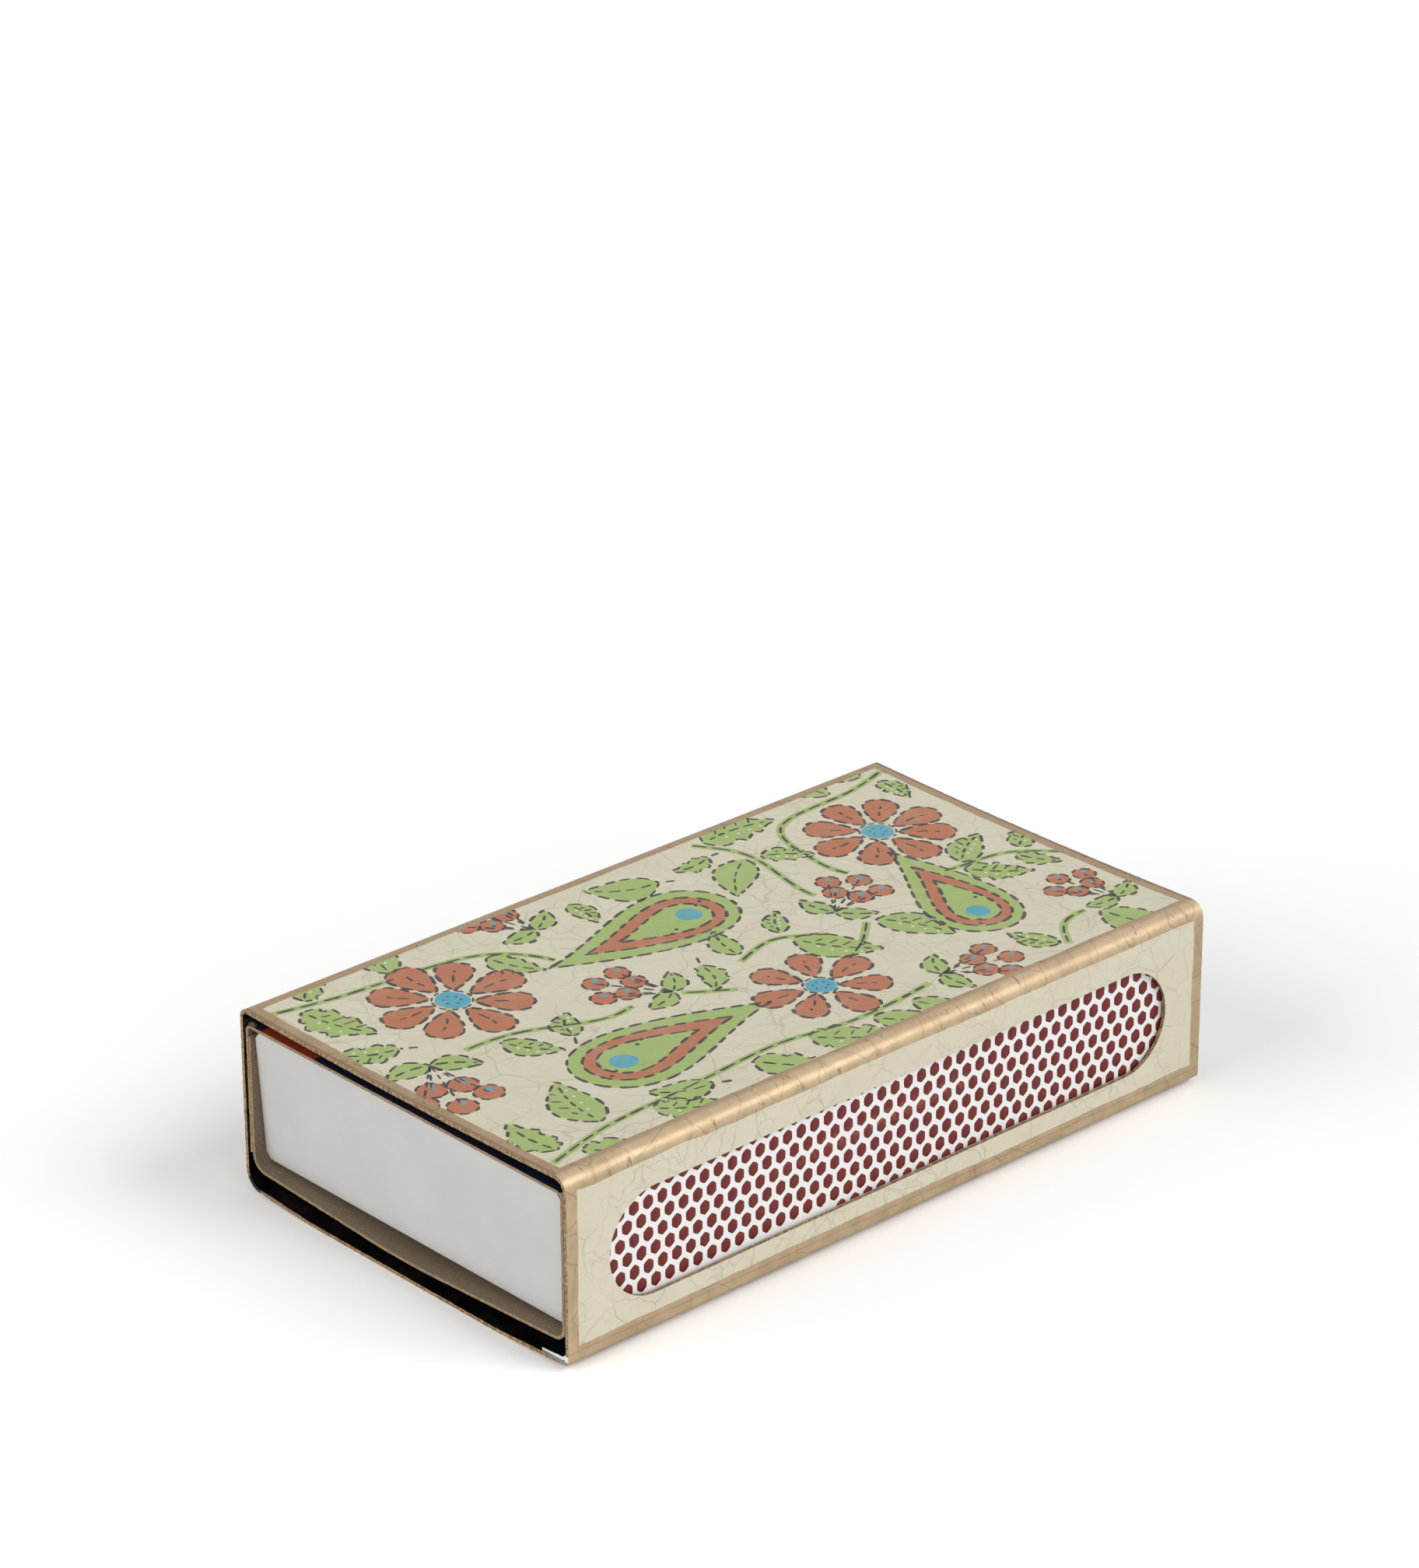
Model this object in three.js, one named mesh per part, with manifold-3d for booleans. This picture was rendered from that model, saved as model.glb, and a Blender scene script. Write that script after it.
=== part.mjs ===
// A holder for a kitchen match box: a flat tube folded from thin sheet metal and open at both ends, with
// a long round-ended window in one side wall. A card match box slides in it. The box's sleeve shows its
// striking surface in the window, and its tray, full of matches, slides out at either end.
// Millimetres, +Z up. The origin is under the middle of the holder; -Y is the end in front,
// and the window looks to +X.
import * as THREE from "three";
import { mergeVertices } from "three/addons/utils/BufferGeometryUtils.js";
import Module from "manifold-3d";

const wasm = await Module();
wasm.setup();

// Holder: a rectangular tube folded from one sheet, lapped inside its lower right corner
const holderLength = 120;
const holderWidth = 67.5;
const holderHeight = 28.5;
const sheetThickness = 0.55;
const holderLap = 5.2;
const holderTopSag = 0.5; // the middle of the top is this much lower than its long edges
const holderEdgeLift = 0.85; // the long edges of the bottom are this much higher than its middle
const holderFlatHalf = 20; // half the width of the flat that it stands on
const holderRadius = { topLeft: 1.4, topRight: 2.2, bottomLeft: 3.0, bottomRight: 1.5 };

// Window in the right side wall: the strips of wall that stay round it
const windowEndStrip = 7.4;
const windowFootStrip = 6.15;
const windowHeadStrip = 6.25;

// Sleeve of the match box: folded card, with a glue flap that doubles its left wall inside
const cardThickness = 0.45;
const sleeveEndInset = 0.2;
const sleeveTopGap = 1.75; // to the long edges of the holder's top, inside
const sleeveFloorGap = 2.05; // to the holder's floor: the sleeve is held by the side walls
const sleeveSideGap = 0.35;
const sleeveEdgeLift = 1.4; // its bottom bellies down by this much between the corners
const sleeveFlatHalf = 4;
const sleeveRadius = { topLeft: 1.1, topRight: 1.1, bottomRight: 2.0, bottomLeft: 2.4 };
const flapTopDrop = 1.8;

// Tray of the match box: folded card, with end walls that lean out and corner tabs behind them
const trayCard = 0.45;
const trayTopGap = 0.5; // to the sleeve's top, inside
const trayEndInset = 2.2; // from the holder's end to the foot of the tray's end wall
const trayEndLean = 1.3; // how far the top of an end wall leans out
const trayGap = 0.3; // running gap between the tray and the sleeve
const trayEndFold = 0.9;
const tabLength = 9;
const tabTopDrop = 1.6;
const tabFootGap = 2.6;
const endWallNotch = 1.0; // cut off each top corner of an end wall

// Matches: square sticks that lie across the tray, every other one with its head at the other side
const matchEndRoom = 4.3; // the tray's inner width less a match's length
const stickWidth = 2.2;
const headRadius = 1.45;
const headLength = 4.6;
// The head's outline, from its foot to its tip, in shares of its radius and length
const headNeck = { radius: 0.78, along: -0.42 };
const headBelly = { radius: 1, along: 0.05 };
const headNose = { radius: 0.72, along: 0.37 };
const stickEnd = 0.4; // the stick ends this share of the head's length below its tip
const matchPitch = 3.3;
const matchSway = 0.1; // how far a loose match strays along the row
const matchSlip = 0.4; // how far it strays along its own length
const matchYaw = 0.2; // degrees
const matchRoll = 7; // degrees
const matchHeadroom = 4.8; // free height over the matches, under the tray's rim
const packedGap = 0.12; // between the sticks of the lower layers
const stackShift = 1.4; // how far every other one of them is shifted to each side
const stackGap = 0.3; // under the stack and on it
const coreSink = 0.25; // the stack's core ends this share of a stick below its top
const coreInset = 0.5; // its rows are this share of a stick shorter than the stack

const glueLine = 0.05; // between two lapped layers
const bottomEase = 60; // radius where the flat of a sagging bottom turns up
const arcStep = 15; // degrees for each facet of a fold
const headSides = 10;

const halfWidth = holderWidth / 2;
const windowLength = holderLength - 2 * windowEndStrip;
const windowHeight = holderHeight - windowFootStrip - windowHeadStrip;
const sleeveLength = holderLength - 2 * sleeveEndInset;
const sleeveWidth = holderWidth - 2 * sheetThickness - 2 * sleeveSideGap;
const sleeveFoot = sheetThickness + sleeveFloorGap;
const sleeveHeight = holderHeight - sheetThickness - sleeveTopGap - sleeveFoot;
const flapDepth = cardThickness + glueLine;
// The tray is centred between the sleeve's right wall and the flap on its left wall
const trayWidth = sleeveWidth - 2 * cardThickness - flapDepth - 2 * trayGap;
const trayShift = flapDepth / 2;
const trayFold = sleeveRadius.bottomRight - cardThickness - trayGap;
const trayFoot = sleeveFoot + sleeveEdgeLift + cardThickness + trayGap;
const trayLength = holderLength - 2 * trayEndInset;
const trayHalf = trayWidth / 2;
const trayHeight = sleeveFoot + sleeveHeight - cardThickness - trayTopGap - trayFoot;
const troughLength = trayLength - 2 * trayEndFold;
const matchLength = trayWidth - 2 * trayCard - matchEndRoom;
const matchesInRow = Math.floor((troughLength - 2 * trayCard) / matchPitch);
const packedStep = stickWidth + packedGap;
const stackRoom = trayHeight - trayCard - 2 * stackGap - 2 * headRadius - matchHeadroom;
const stackLayers = Math.floor((stackRoom + packedGap) / packedStep);
const stackHeight = stackLayers * packedStep - packedGap;

// Rounds each corner of an open line {x, z, r} with an arc of its own radius r.
function roundLine(corners) {
  const line = [];
  corners.forEach((corner, i) => {
    const here = new THREE.Vector2(corner.x, corner.z);
    if (!corner.r || i === 0 || i === corners.length - 1) {
      line.push(here);
      return;
    }
    const before = new THREE.Vector2(corners[i - 1].x, corners[i - 1].z).sub(here).normalize();
    const after = new THREE.Vector2(corners[i + 1].x, corners[i + 1].z).sub(here).normalize();
    const half = Math.acos(THREE.MathUtils.clamp(before.dot(after), -1, 1)) / 2;
    const centre = before.clone().add(after).normalize().multiplyScalar(corner.r / Math.sin(half)).add(here);
    const start = before.multiplyScalar(corner.r / Math.tan(half)).add(here).sub(centre);
    const end = after.multiplyScalar(corner.r / Math.tan(half)).add(here).sub(centre);
    const turn = Math.atan2(start.cross(end), start.dot(end));
    const facets = Math.max(2, Math.round(Math.abs(THREE.MathUtils.radToDeg(turn)) / arcStep));
    for (let k = 0; k <= facets; k++) {
      line.push(start.clone().rotateAround(new THREE.Vector2(), (turn * k) / facets).add(centre));
    }
  });
  return line;
}

// Outline of a sheet bent along a line: the line itself and its copy, one thickness to its right.
function sheetOutline(line, thickness) {
  const right = line.map((here, i) => {
    const into = here.clone().sub(line[Math.max(i - 1, 0)]);
    const out = line[Math.min(i + 1, line.length - 1)].clone().sub(here);
    const a = (into.length() ? into : out.clone()).normalize();
    const b = (out.length() ? out : into.clone()).normalize();
    const bisector = new THREE.Vector2(a.y + b.y, -a.x - b.x).normalize();
    const stretch = thickness / (bisector.x * a.y - bisector.y * a.x);
    return bisector.multiplyScalar(stretch).add(here);
  });
  return [...line, ...right.reverse()];
}

// A place on a sagging bottom at a distance from its middle: flat there, and rising to its edges.
function bottomAt(x, { half, flatHalf, lift, base }) {
  const share = Math.max(0, (Math.abs(x) - flatHalf) / (half - flatHalf));
  return { x, z: base + lift * share };
}

// Corners of a sagging bottom from its right end to its left end, eased where the flat ends.
function saggingBottom(right, left, bottom) {
  return [
    bottomAt(right, bottom),
    { ...bottomAt(bottom.flatHalf, bottom), r: bottomEase },
    { ...bottomAt(-bottom.flatHalf, bottom), r: bottomEase },
    bottomAt(left, bottom),
  ];
}

// Corners of a top whose middle sags below its two edges.
function saggingTop(fromX, toX, height, sag) {
  const steps = 6;
  const corners = [];
  for (let k = 1; k < steps; k++) {
    const share = k / steps;
    corners.push({ x: THREE.MathUtils.lerp(fromX, toX, share), z: height - 4 * sag * share * (1 - share) });
  }
  return corners;
}

// A prism along Y, from an outline in X and Z, with its middle at y = 0.
function prismAlongY(outline, length) {
  const solid = new THREE.ExtrudeGeometry(new THREE.Shape(outline), { depth: length, bevelEnabled: false });
  return solid.rotateX(Math.PI / 2).translate(0, length / 2, 0);
}

// A prism along X, from an outline in Y and Z, with its middle at x = 0.
function prismAlongX(outline, length) {
  const solid = new THREE.ExtrudeGeometry(new THREE.Shape(outline), { depth: length, bevelEnabled: false });
  return solid.rotateY(Math.PI / 2).rotateX(Math.PI / 2).translate(-length / 2, 0, 0);
}

// Turns a closed geometry into a solid that can be joined and cut.
function solidFrom(geometry) {
  const bare = geometry.clone();
  bare.deleteAttribute("normal");
  bare.deleteAttribute("uv");
  const merged = mergeVertices(bare, 1e-4);
  const vertProperties = new Float32Array(merged.attributes.position.array);
  const triVerts = new Uint32Array(merged.index.array);
  return new wasm.Manifold(new wasm.Mesh({ numProp: 3, vertProperties, triVerts }));
}

function geometryFrom(solid) {
  const mesh = solid.getMesh();
  const geometry = new THREE.BufferGeometry();
  geometry.setAttribute("position", new THREE.BufferAttribute(mesh.vertProperties, 3));
  geometry.setIndex(new THREE.BufferAttribute(mesh.triVerts, 1));
  geometry.computeVertexNormals();
  return geometry;
}

// A slot with round ends, cut through along X, with its middle at the origin.
function slotAlongX(length, height, depth) {
  const end = height / 2;
  const reach = length / 2 - end;
  const slot = new THREE.Shape();
  slot.absarc(reach, 0, end, -Math.PI / 2, Math.PI / 2, false);
  slot.absarc(-reach, 0, end, Math.PI / 2, (3 * Math.PI) / 2, false);
  const curveSegments = 16;
  const solid = new THREE.ExtrudeGeometry(slot, { depth, bevelEnabled: false, curveSegments });
  return solid.rotateY(Math.PI / 2).rotateX(Math.PI / 2).translate(-depth / 2, 0, 0);
}

// The sheet starts under the lower right corner, runs along the bottom, up the left side, over the top
// and down the right side, and ends in a lap that lies inside on its own start.
function holderShell() {
  const radius = holderRadius;
  const bottom = { half: halfWidth, flatHalf: holderFlatHalf, lift: holderEdgeLift, base: 0 };
  const start = halfWidth - sheetThickness;
  const over = sheetThickness + glueLine;
  const line = roundLine([
    ...saggingBottom(start, -halfWidth + radius.bottomLeft, bottom),
    { x: -halfWidth, z: holderEdgeLift, r: radius.bottomLeft },
    { x: -halfWidth, z: holderHeight, r: radius.topLeft },
    ...saggingTop(-halfWidth, halfWidth, holderHeight, holderTopSag),
    { x: halfWidth, z: holderHeight, r: radius.topRight },
    { x: halfWidth, z: holderEdgeLift + over, r: radius.bottomRight },
    bottomAt(halfWidth - holderLap, { ...bottom, base: over }),
  ]);
  const tube = prismAlongY(sheetOutline(line, sheetThickness), holderLength);
  const cutter = slotAlongX(windowLength, windowHeight, holderWidth / 2);
  cutter.translate(halfWidth, 0, windowFootStrip + windowHeight / 2);
  return geometryFrom(solidFrom(tube).subtract(solidFrom(cutter)));
}

// The card starts at the foot of the left wall, runs up it, over the top, down the right side and along
// the bottom, and ends in the flap that stands inside its own start.
function matchboxSleeve() {
  const radius = sleeveRadius;
  const half = sleeveWidth / 2;
  const bottom = { half, flatHalf: sleeveFlatHalf, lift: sleeveEdgeLift, base: 0 };
  const line = roundLine([
    { x: -half, z: sleeveEdgeLift + radius.bottomLeft },
    { x: -half, z: sleeveHeight, r: radius.topLeft },
    { x: half, z: sleeveHeight, r: radius.topRight },
    { x: half, z: sleeveEdgeLift, r: radius.bottomRight },
    ...saggingBottom(half - radius.bottomRight, flapDepth + radius.bottomLeft - half, bottom),
    { x: flapDepth - half, z: sleeveEdgeLift, r: radius.bottomLeft },
    { x: flapDepth - half, z: sleeveHeight - flapTopDrop },
  ]);
  return prismAlongY(sheetOutline(line, cardThickness), sleeveLength);
}

// Floor and long walls, folded up from one card
function trayTrough() {
  const line = roundLine([
    { x: trayHalf, z: trayHeight },
    { x: trayHalf, z: 0, r: trayFold },
    { x: -trayHalf, z: 0, r: trayFold },
    { x: -trayHalf, z: trayHeight },
  ]);
  return prismAlongY(sheetOutline(line, trayCard), troughLength);
}

// Both end walls, folded up from the same floor and leaning out a little. Seen from the end, their lower
// corners clear the long folds and their upper corners are cut off.
function trayEndWalls() {
  const foot = trayLength / 2;
  const line = roundLine([
    { x: foot + trayEndLean, z: trayHeight },
    { x: foot, z: 0, r: trayEndFold },
    { x: -foot, z: 0, r: trayEndFold },
    { x: -foot - trayEndLean, z: trayHeight },
  ]);
  const strip = prismAlongX(sheetOutline(line, trayCard), trayWidth);
  const fromEnd = [];
  for (const side of [1, -1]) {
    const corners = [
      new THREE.Vector2(side * (trayHalf - trayFold), 0),
      new THREE.Vector2(side * trayHalf, trayFold),
      new THREE.Vector2(side * trayHalf, trayHeight - endWallNotch),
      new THREE.Vector2(side * (trayHalf - endWallNotch), trayHeight),
    ];
    fromEnd.push(...(side > 0 ? corners : corners.reverse()));
  }
  const reach = 2 * (foot + trayEndLean + trayCard);
  return solidFrom(strip).intersect(solidFrom(prismAlongY(fromEnd, reach)));
}

// A tab at the end of a long wall, bent in behind the end wall
function cornerTab(side, end) {
  const height = trayHeight - tabTopDrop - tabFootGap;
  const outline = new THREE.Shape([
    new THREE.Vector2(0, 0),
    new THREE.Vector2(0, height),
    new THREE.Vector2(-side * tabLength, height - tabTopDrop),
    new THREE.Vector2(-side * tabLength, tabTopDrop),
  ]);
  const tab = new THREE.ExtrudeGeometry(outline, { depth: trayCard, bevelEnabled: false });
  const y = end * (troughLength / 2) + (end < 0 ? trayCard : 0);
  return tab.rotateX(Math.PI / 2).translate(side * (trayHalf - trayCard / 2), y, tabFootGap);
}

function matchboxTray() {
  let tray = solidFrom(trayTrough()).add(trayEndWalls());
  for (const side of [-1, 1]) {
    for (const end of [-1, 1]) tray = tray.add(solidFrom(cornerTab(side, end)));
  }
  return geometryFrom(tray);
}

// One match along X, its middle at the origin and its head at +X
function matchStick() {
  const stickLength = matchLength - headLength * stickEnd;
  const stick = new THREE.BoxGeometry(stickLength, stickWidth, stickWidth);
  stick.translate((stickLength - matchLength) / 2, 0, 0);
  const foot = { radius: 0, along: -0.5 };
  const tip = { radius: 0, along: 0.5 };
  const profile = [foot, headNeck, headBelly, headNose, tip];
  const line = profile.map(({ radius, along }) => new THREE.Vector2(radius * headRadius, along * headLength));
  const head = new THREE.LatheGeometry(line, headSides);
  head.rotateZ(-Math.PI / 2).translate((matchLength - headLength) / 2, 0, 0);
  return geometryFrom(solidFrom(stick).add(solidFrom(head)));
}

// The lower layers as one solid: a packed core, from which each stick's two ends and the upper sides of
// the top layer stand out. Neighbours are shifted to either side, as their heads alternate.
function matchStack() {
  const sticksInLayer = Math.floor((matchesInRow * matchPitch) / packedStep);
  const coreTop = stackHeight - stickWidth * coreSink;
  const coreWidth = sticksInLayer * packedStep - stickWidth * coreInset;
  const shared = matchLength - 2 * headLength - 2 * stackShift; // where the sticks of both shifts lie
  const core = new THREE.BoxGeometry(shared - 2 * stackShift, coreWidth, coreTop);
  const sticks = [solidFrom(core.translate(0, 0, coreTop / 2))];
  for (let layer = 0; layer < stackLayers; layer++) {
    for (let i = 0; i < sticksInLayer; i++) {
      const shift = ((i + layer) % 2 ? 1 : -1) * stackShift;
      const stick = new THREE.BoxGeometry(matchLength - 2 * headLength, stickWidth, stickWidth);
      stick.translate(shift, (i - (sticksInLayer - 1) / 2) * packedStep, layer * packedStep + stickWidth / 2);
      sticks.push(solidFrom(stick));
    }
  }
  return geometryFrom(wasm.Manifold.union(sticks));
}

// A fixed value between -1 and 1 for each match and each use of it. Any uneven factors do.
function stray(index, use) {
  const factors = { index: 12.9898, use: 78.233, spread: 43758.5453 };
  const wave = Math.sin((index + 1) * factors.index + use * factors.use) * factors.spread;
  return 2 * (wave - Math.floor(wave)) - 1;
}

const paintedSheet = new THREE.MeshStandardMaterial({ color: 0xd9d3ba, roughness: 0.55, metalness: 0 });
const printedCard = new THREE.MeshStandardMaterial({ color: 0xefeeee, roughness: 0.4, metalness: 0 });
const whiteCard = new THREE.MeshStandardMaterial({ color: 0xd2d1ce, roughness: 0.6, metalness: 0 });
const matchWood = new THREE.MeshStandardMaterial({ color: 0xe4cfa4, roughness: 0.75, metalness: 0 });

function named(name, geometry, material) {
  const mesh = new THREE.Mesh(geometry, material);
  mesh.name = name;
  return mesh;
}

const holder = new THREE.Group();
holder.add(named("holder_shell", holderShell(), paintedSheet));

const matchbox = new THREE.Group();
const sleeve = named("matchbox_sleeve", matchboxSleeve(), printedCard);
sleeve.position.z = sleeveFoot;
matchbox.add(sleeve);

const drawer = new THREE.Group();
const tray = named("matchbox_tray", matchboxTray(), whiteCard);
tray.position.set(trayShift, 0, trayFoot);
drawer.add(tray);
const stack = named("match_stack", matchStack(), matchWood);
stack.position.set(trayShift, 0, trayFoot + trayCard + stackGap);
drawer.add(stack);

const oneMatch = matchStick();
const rollRoom = Math.SQRT1_2 * stickWidth * Math.sin(THREE.MathUtils.degToRad(45 + matchRoll));
for (let i = 0; i < matchesInRow; i++) {
  const match = named(`match_${String(i + 1).padStart(2, "0")}`, oneMatch, matchWood);
  const y = (i - (matchesInRow - 1) / 2) * matchPitch + matchSway * stray(i, 0);
  const z = stack.position.z + stackHeight + stackGap + Math.max(rollRoom, headRadius);
  match.position.set(trayShift + matchSlip * stray(i, 1), y, z);
  match.rotation.order = "ZYX";
  match.rotation.z = (i % 2 ? Math.PI : 0) + THREE.MathUtils.degToRad(matchYaw * stray(i, 2));
  match.rotation.x = THREE.MathUtils.degToRad(matchRoll * stray(i, 3));
  drawer.add(match);
}
matchbox.add(drawer);
holder.add(matchbox);

export default holder;
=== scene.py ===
import bpy
import bmesh
import math
import random
from mathutils import Vector, Matrix, noise


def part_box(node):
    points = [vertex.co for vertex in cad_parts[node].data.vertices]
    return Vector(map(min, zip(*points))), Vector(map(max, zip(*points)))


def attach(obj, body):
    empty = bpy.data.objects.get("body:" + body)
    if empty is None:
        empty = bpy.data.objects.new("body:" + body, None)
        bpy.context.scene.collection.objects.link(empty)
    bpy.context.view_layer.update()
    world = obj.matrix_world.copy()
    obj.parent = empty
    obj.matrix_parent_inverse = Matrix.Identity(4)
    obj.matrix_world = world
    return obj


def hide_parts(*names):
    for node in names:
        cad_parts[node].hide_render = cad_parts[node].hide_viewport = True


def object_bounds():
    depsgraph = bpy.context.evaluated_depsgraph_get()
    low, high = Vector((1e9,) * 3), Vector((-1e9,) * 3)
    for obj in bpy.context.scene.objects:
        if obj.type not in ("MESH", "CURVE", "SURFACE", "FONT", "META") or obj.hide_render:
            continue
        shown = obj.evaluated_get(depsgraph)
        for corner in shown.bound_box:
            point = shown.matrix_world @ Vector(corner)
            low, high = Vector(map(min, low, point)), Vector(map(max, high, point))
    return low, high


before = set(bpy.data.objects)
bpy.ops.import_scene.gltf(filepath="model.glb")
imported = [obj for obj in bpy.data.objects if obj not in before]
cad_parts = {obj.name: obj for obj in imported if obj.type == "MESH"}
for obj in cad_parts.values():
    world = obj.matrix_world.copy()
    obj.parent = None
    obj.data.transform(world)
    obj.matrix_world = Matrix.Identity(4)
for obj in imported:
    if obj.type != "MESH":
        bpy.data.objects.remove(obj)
cad_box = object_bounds()
MM = 0.001

# Sizes in millimetres, as in the CAD. The holder's top sags, its bottom rises from a flat to the sides
LENGTH, WIDTH, HEIGHT = 120.0, 67.5, 28.5
HALF = WIDTH / 2
SHEET = 0.55
SAG, LIFT, FLAT = 0.5, 0.85, 20.0
SOFT_BEND = 60
GLUE = 0.05
WINDOW_LENGTH, WINDOW_LOW, WINDOW_HIGH = 105.2, 6.15, 22.25

# The match box, with the room beside the sleeve and the room round the tray
CARD = 0.45
SIDE_ROOM, RUN_ROOM, TOP_ROOM = 0.35, 0.3, 0.5
SLEEVE_HALF = HALF - SHEET - SIDE_ROOM
SLEEVE_FOOT = 2.6
SLEEVE_H = 23.6
SLEEVE_TOP = SLEEVE_FOOT + SLEEVE_H
SLEEVE_LIFT = 1.4
SLEEVE_FLAT = 4
FLAP = CARD + GLUE
TRAY_W = 2 * SLEEVE_HALF - 2 * CARD - FLAP - 2 * RUN_ROOM
TRAY_X = FLAP / 2
TRAY_FOOT = SLEEVE_FOOT + SLEEVE_LIFT + CARD + RUN_ROOM
TRAY_H = SLEEVE_TOP - CARD - TOP_ROOM - TRAY_FOOT
TRAY_LENGTH = LENGTH - 4.4
TRAY_FOLD = 1.25

# Camera, fitted to the holder's outline in the photo: angles in radians, place in millimetres
YAW, PITCH, ROLL = 0.830635, 0.428476, -0.004315
LENS = 127.587
CAMERA_RIGHT, CAMERA_UP, CAMERA_BACK = -3.0343, 49.528, 783.644

# Shares of full light from the world and each lamp, and the floor's brightness as lit and as seen
WORLD, KEY, SIDE, FRONT = 0.27, 0.38, 0.24, 0.48
FLOOR_LIT, FLOOR_SEEN = 0.86, 1.22


def look():
    """Sets the camera."""
    back = Vector((math.sin(YAW) * math.cos(PITCH), -math.cos(YAW) * math.cos(PITCH), math.sin(PITCH)))
    level = Vector((math.cos(YAW), math.sin(YAW), 0))
    upright = back.cross(level)
    c, s = math.cos(ROLL), math.sin(ROLL)
    right = c * level + s * upright
    up = -s * level + c * upright
    data = bpy.data.cameras.new("camera")
    data.lens = LENS
    data.clip_start = 0.05
    camera = bpy.data.objects.new("camera", data)
    place = Matrix((right, up, back)).transposed().to_4x4()
    place.translation = (CAMERA_RIGHT * right + CAMERA_UP * up + CAMERA_BACK * back) * MM
    camera.matrix_world = place
    bpy.context.scene.collection.objects.link(camera)
    bpy.context.scene.camera = camera


def broad_lamp(name, toward, level, spread):
    """A wide, even lamp: level is the share of full light it gives a face that looks at it."""
    data = bpy.data.lights.new(name, "SUN")
    data.energy = level * math.pi
    data.angle = math.radians(spread)
    lamp = bpy.data.objects.new(name, data)
    lamp.rotation_euler = Vector(toward).to_track_quat("Z", "Y").to_euler()
    bpy.context.scene.collection.objects.link(lamp)


class Tree:
    """A material's node tree, built with short calls."""

    def __init__(self, name):
        self.material = bpy.data.materials.new(name)
        self.material.use_nodes = True
        self.tree = self.material.node_tree
        self.tree.nodes.clear()
        out = self.tree.nodes.new("ShaderNodeOutputMaterial")
        self.shader = self.tree.nodes.new("ShaderNodeBsdfPrincipled")
        self.tree.links.new(self.shader.outputs[0], out.inputs[0])
        self.coordinates = None
        self.axes = None

    def node(self, kind, **props):
        node = self.tree.nodes.new("ShaderNode" + kind)
        for k, v in props.items():
            setattr(node, k, v)
        return node

    def put(self, socket, value):
        if isinstance(value, bpy.types.NodeSocket):
            self.tree.links.new(value, socket)
        else:
            socket.default_value = value

    def math(self, operation, *values):
        node = self.node("Math", operation=operation)
        for socket, value in zip(node.inputs, values):
            self.put(socket, value)
        return node.outputs[0]

    def mul(self, a, b):
        return self.math("MULTIPLY", a, b)

    def add(self, a, b):
        return self.math("ADD", a, b)

    def sub(self, a, b):
        return self.math("SUBTRACT", a, b)

    def larger(self, a, b):
        return self.math("MAXIMUM", a, b)

    def smaller(self, a, b):
        return self.math("MINIMUM", a, b)

    def absolute(self, a):
        return self.math("ABSOLUTE", a)

    def ramp(self, v, lo, hi, a=0.0, b=1.0):
        """Eases v from lo..hi to a..b."""
        node = self.node("MapRange", interpolation_type="SMOOTHSTEP")
        for i, x in enumerate((v, lo, hi, a, b)):
            self.put(node.inputs[i], x)
        return node.outputs[0]

    def mix(self, share, a, b):
        """Colour a, with a share of colour b over it."""
        node = self.node("Mix", data_type="RGBA")
        for i, v in ((0, share), (6, a), (7, b)):
            self.put(node.inputs[i], v)
        return node.outputs[2]

    def at(self, scale=(1, 1, 1)):
        """Object coordinates in millimetres, each axis times its scale."""
        if self.coordinates is None:
            self.coordinates = self.node("TexCoord").outputs["Object"]
        node = self.node("Mapping")
        self.put(node.inputs[0], self.coordinates)
        node.inputs["Scale"].default_value = tuple(s / MM for s in scale)
        return node.outputs[0]

    def xyz(self):
        """The same coordinates as three values."""
        if self.axes is None:
            node = self.node("SeparateXYZ")
            self.put(node.inputs[0], self.at())
            self.axes = node.outputs
        return self.axes

    def noise(self, size, detail=3.0, rough=0.55, scale=(1, 1, 1), warp=0.0):
        """Clouds with lumps of about size millimetres."""
        node = self.node("TexNoise")
        self.put(node.inputs["Vector"], self.at(scale))
        node.inputs["Scale"].default_value = 1 / size
        node.inputs["Detail"].default_value = detail
        node.inputs["Roughness"].default_value = rough
        node.inputs["Distortion"].default_value = warp
        return node.outputs[0]

    def bump(self, height, depth, below=None):
        """A normal for a relief that is depth millimetres deep."""
        node = self.node("Bump")
        node.inputs["Strength"].default_value = 1.0
        self.put(node.inputs["Height"], self.mul(height, depth * MM))
        node.inputs["Distance"].default_value = 1.0
        if below is not None:
            self.put(node.inputs["Normal"], below)
        return node.outputs[0]

    def done(self, color, rough, normal, **other):
        """Sets the shader and returns the material."""
        self.put(self.shader.inputs["Base Color"], color)
        self.put(self.shader.inputs["Roughness"], rough)
        self.put(self.shader.inputs["Normal"], normal)
        for k, v in other.items():
            self.put(self.shader.inputs[k], v)
        return self.material


def rgb(r, g, b):
    """An sRGB colour of 0 to 255 as a linear one."""
    def lin(v):
        v /= 255
        return v / 12.92 if v <= 0.04045 else ((v + 0.055) / 1.055) ** 2.4
    return (lin(r), lin(g), lin(b), 1)


CREAM = rgb(219, 213, 190)

# Where the gold paint ends, from the middle of the holder and from its foot
GOLD_ENDS, GOLD_LEFT, GOLD_RIGHT = 58.05, 31.3, 30.5
GOLD_LOW, GOLD_HIGH = 3.45, 26.35

# Size, warp, width and place of the large cracks in the lacquer
LARGE_CRACKS = (9.5, 9.0, 0.16, 0.0)

# The red stripe along the sleeve's top, in x
RED_FROM, RED_TO = -29.6, -18.2

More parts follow.
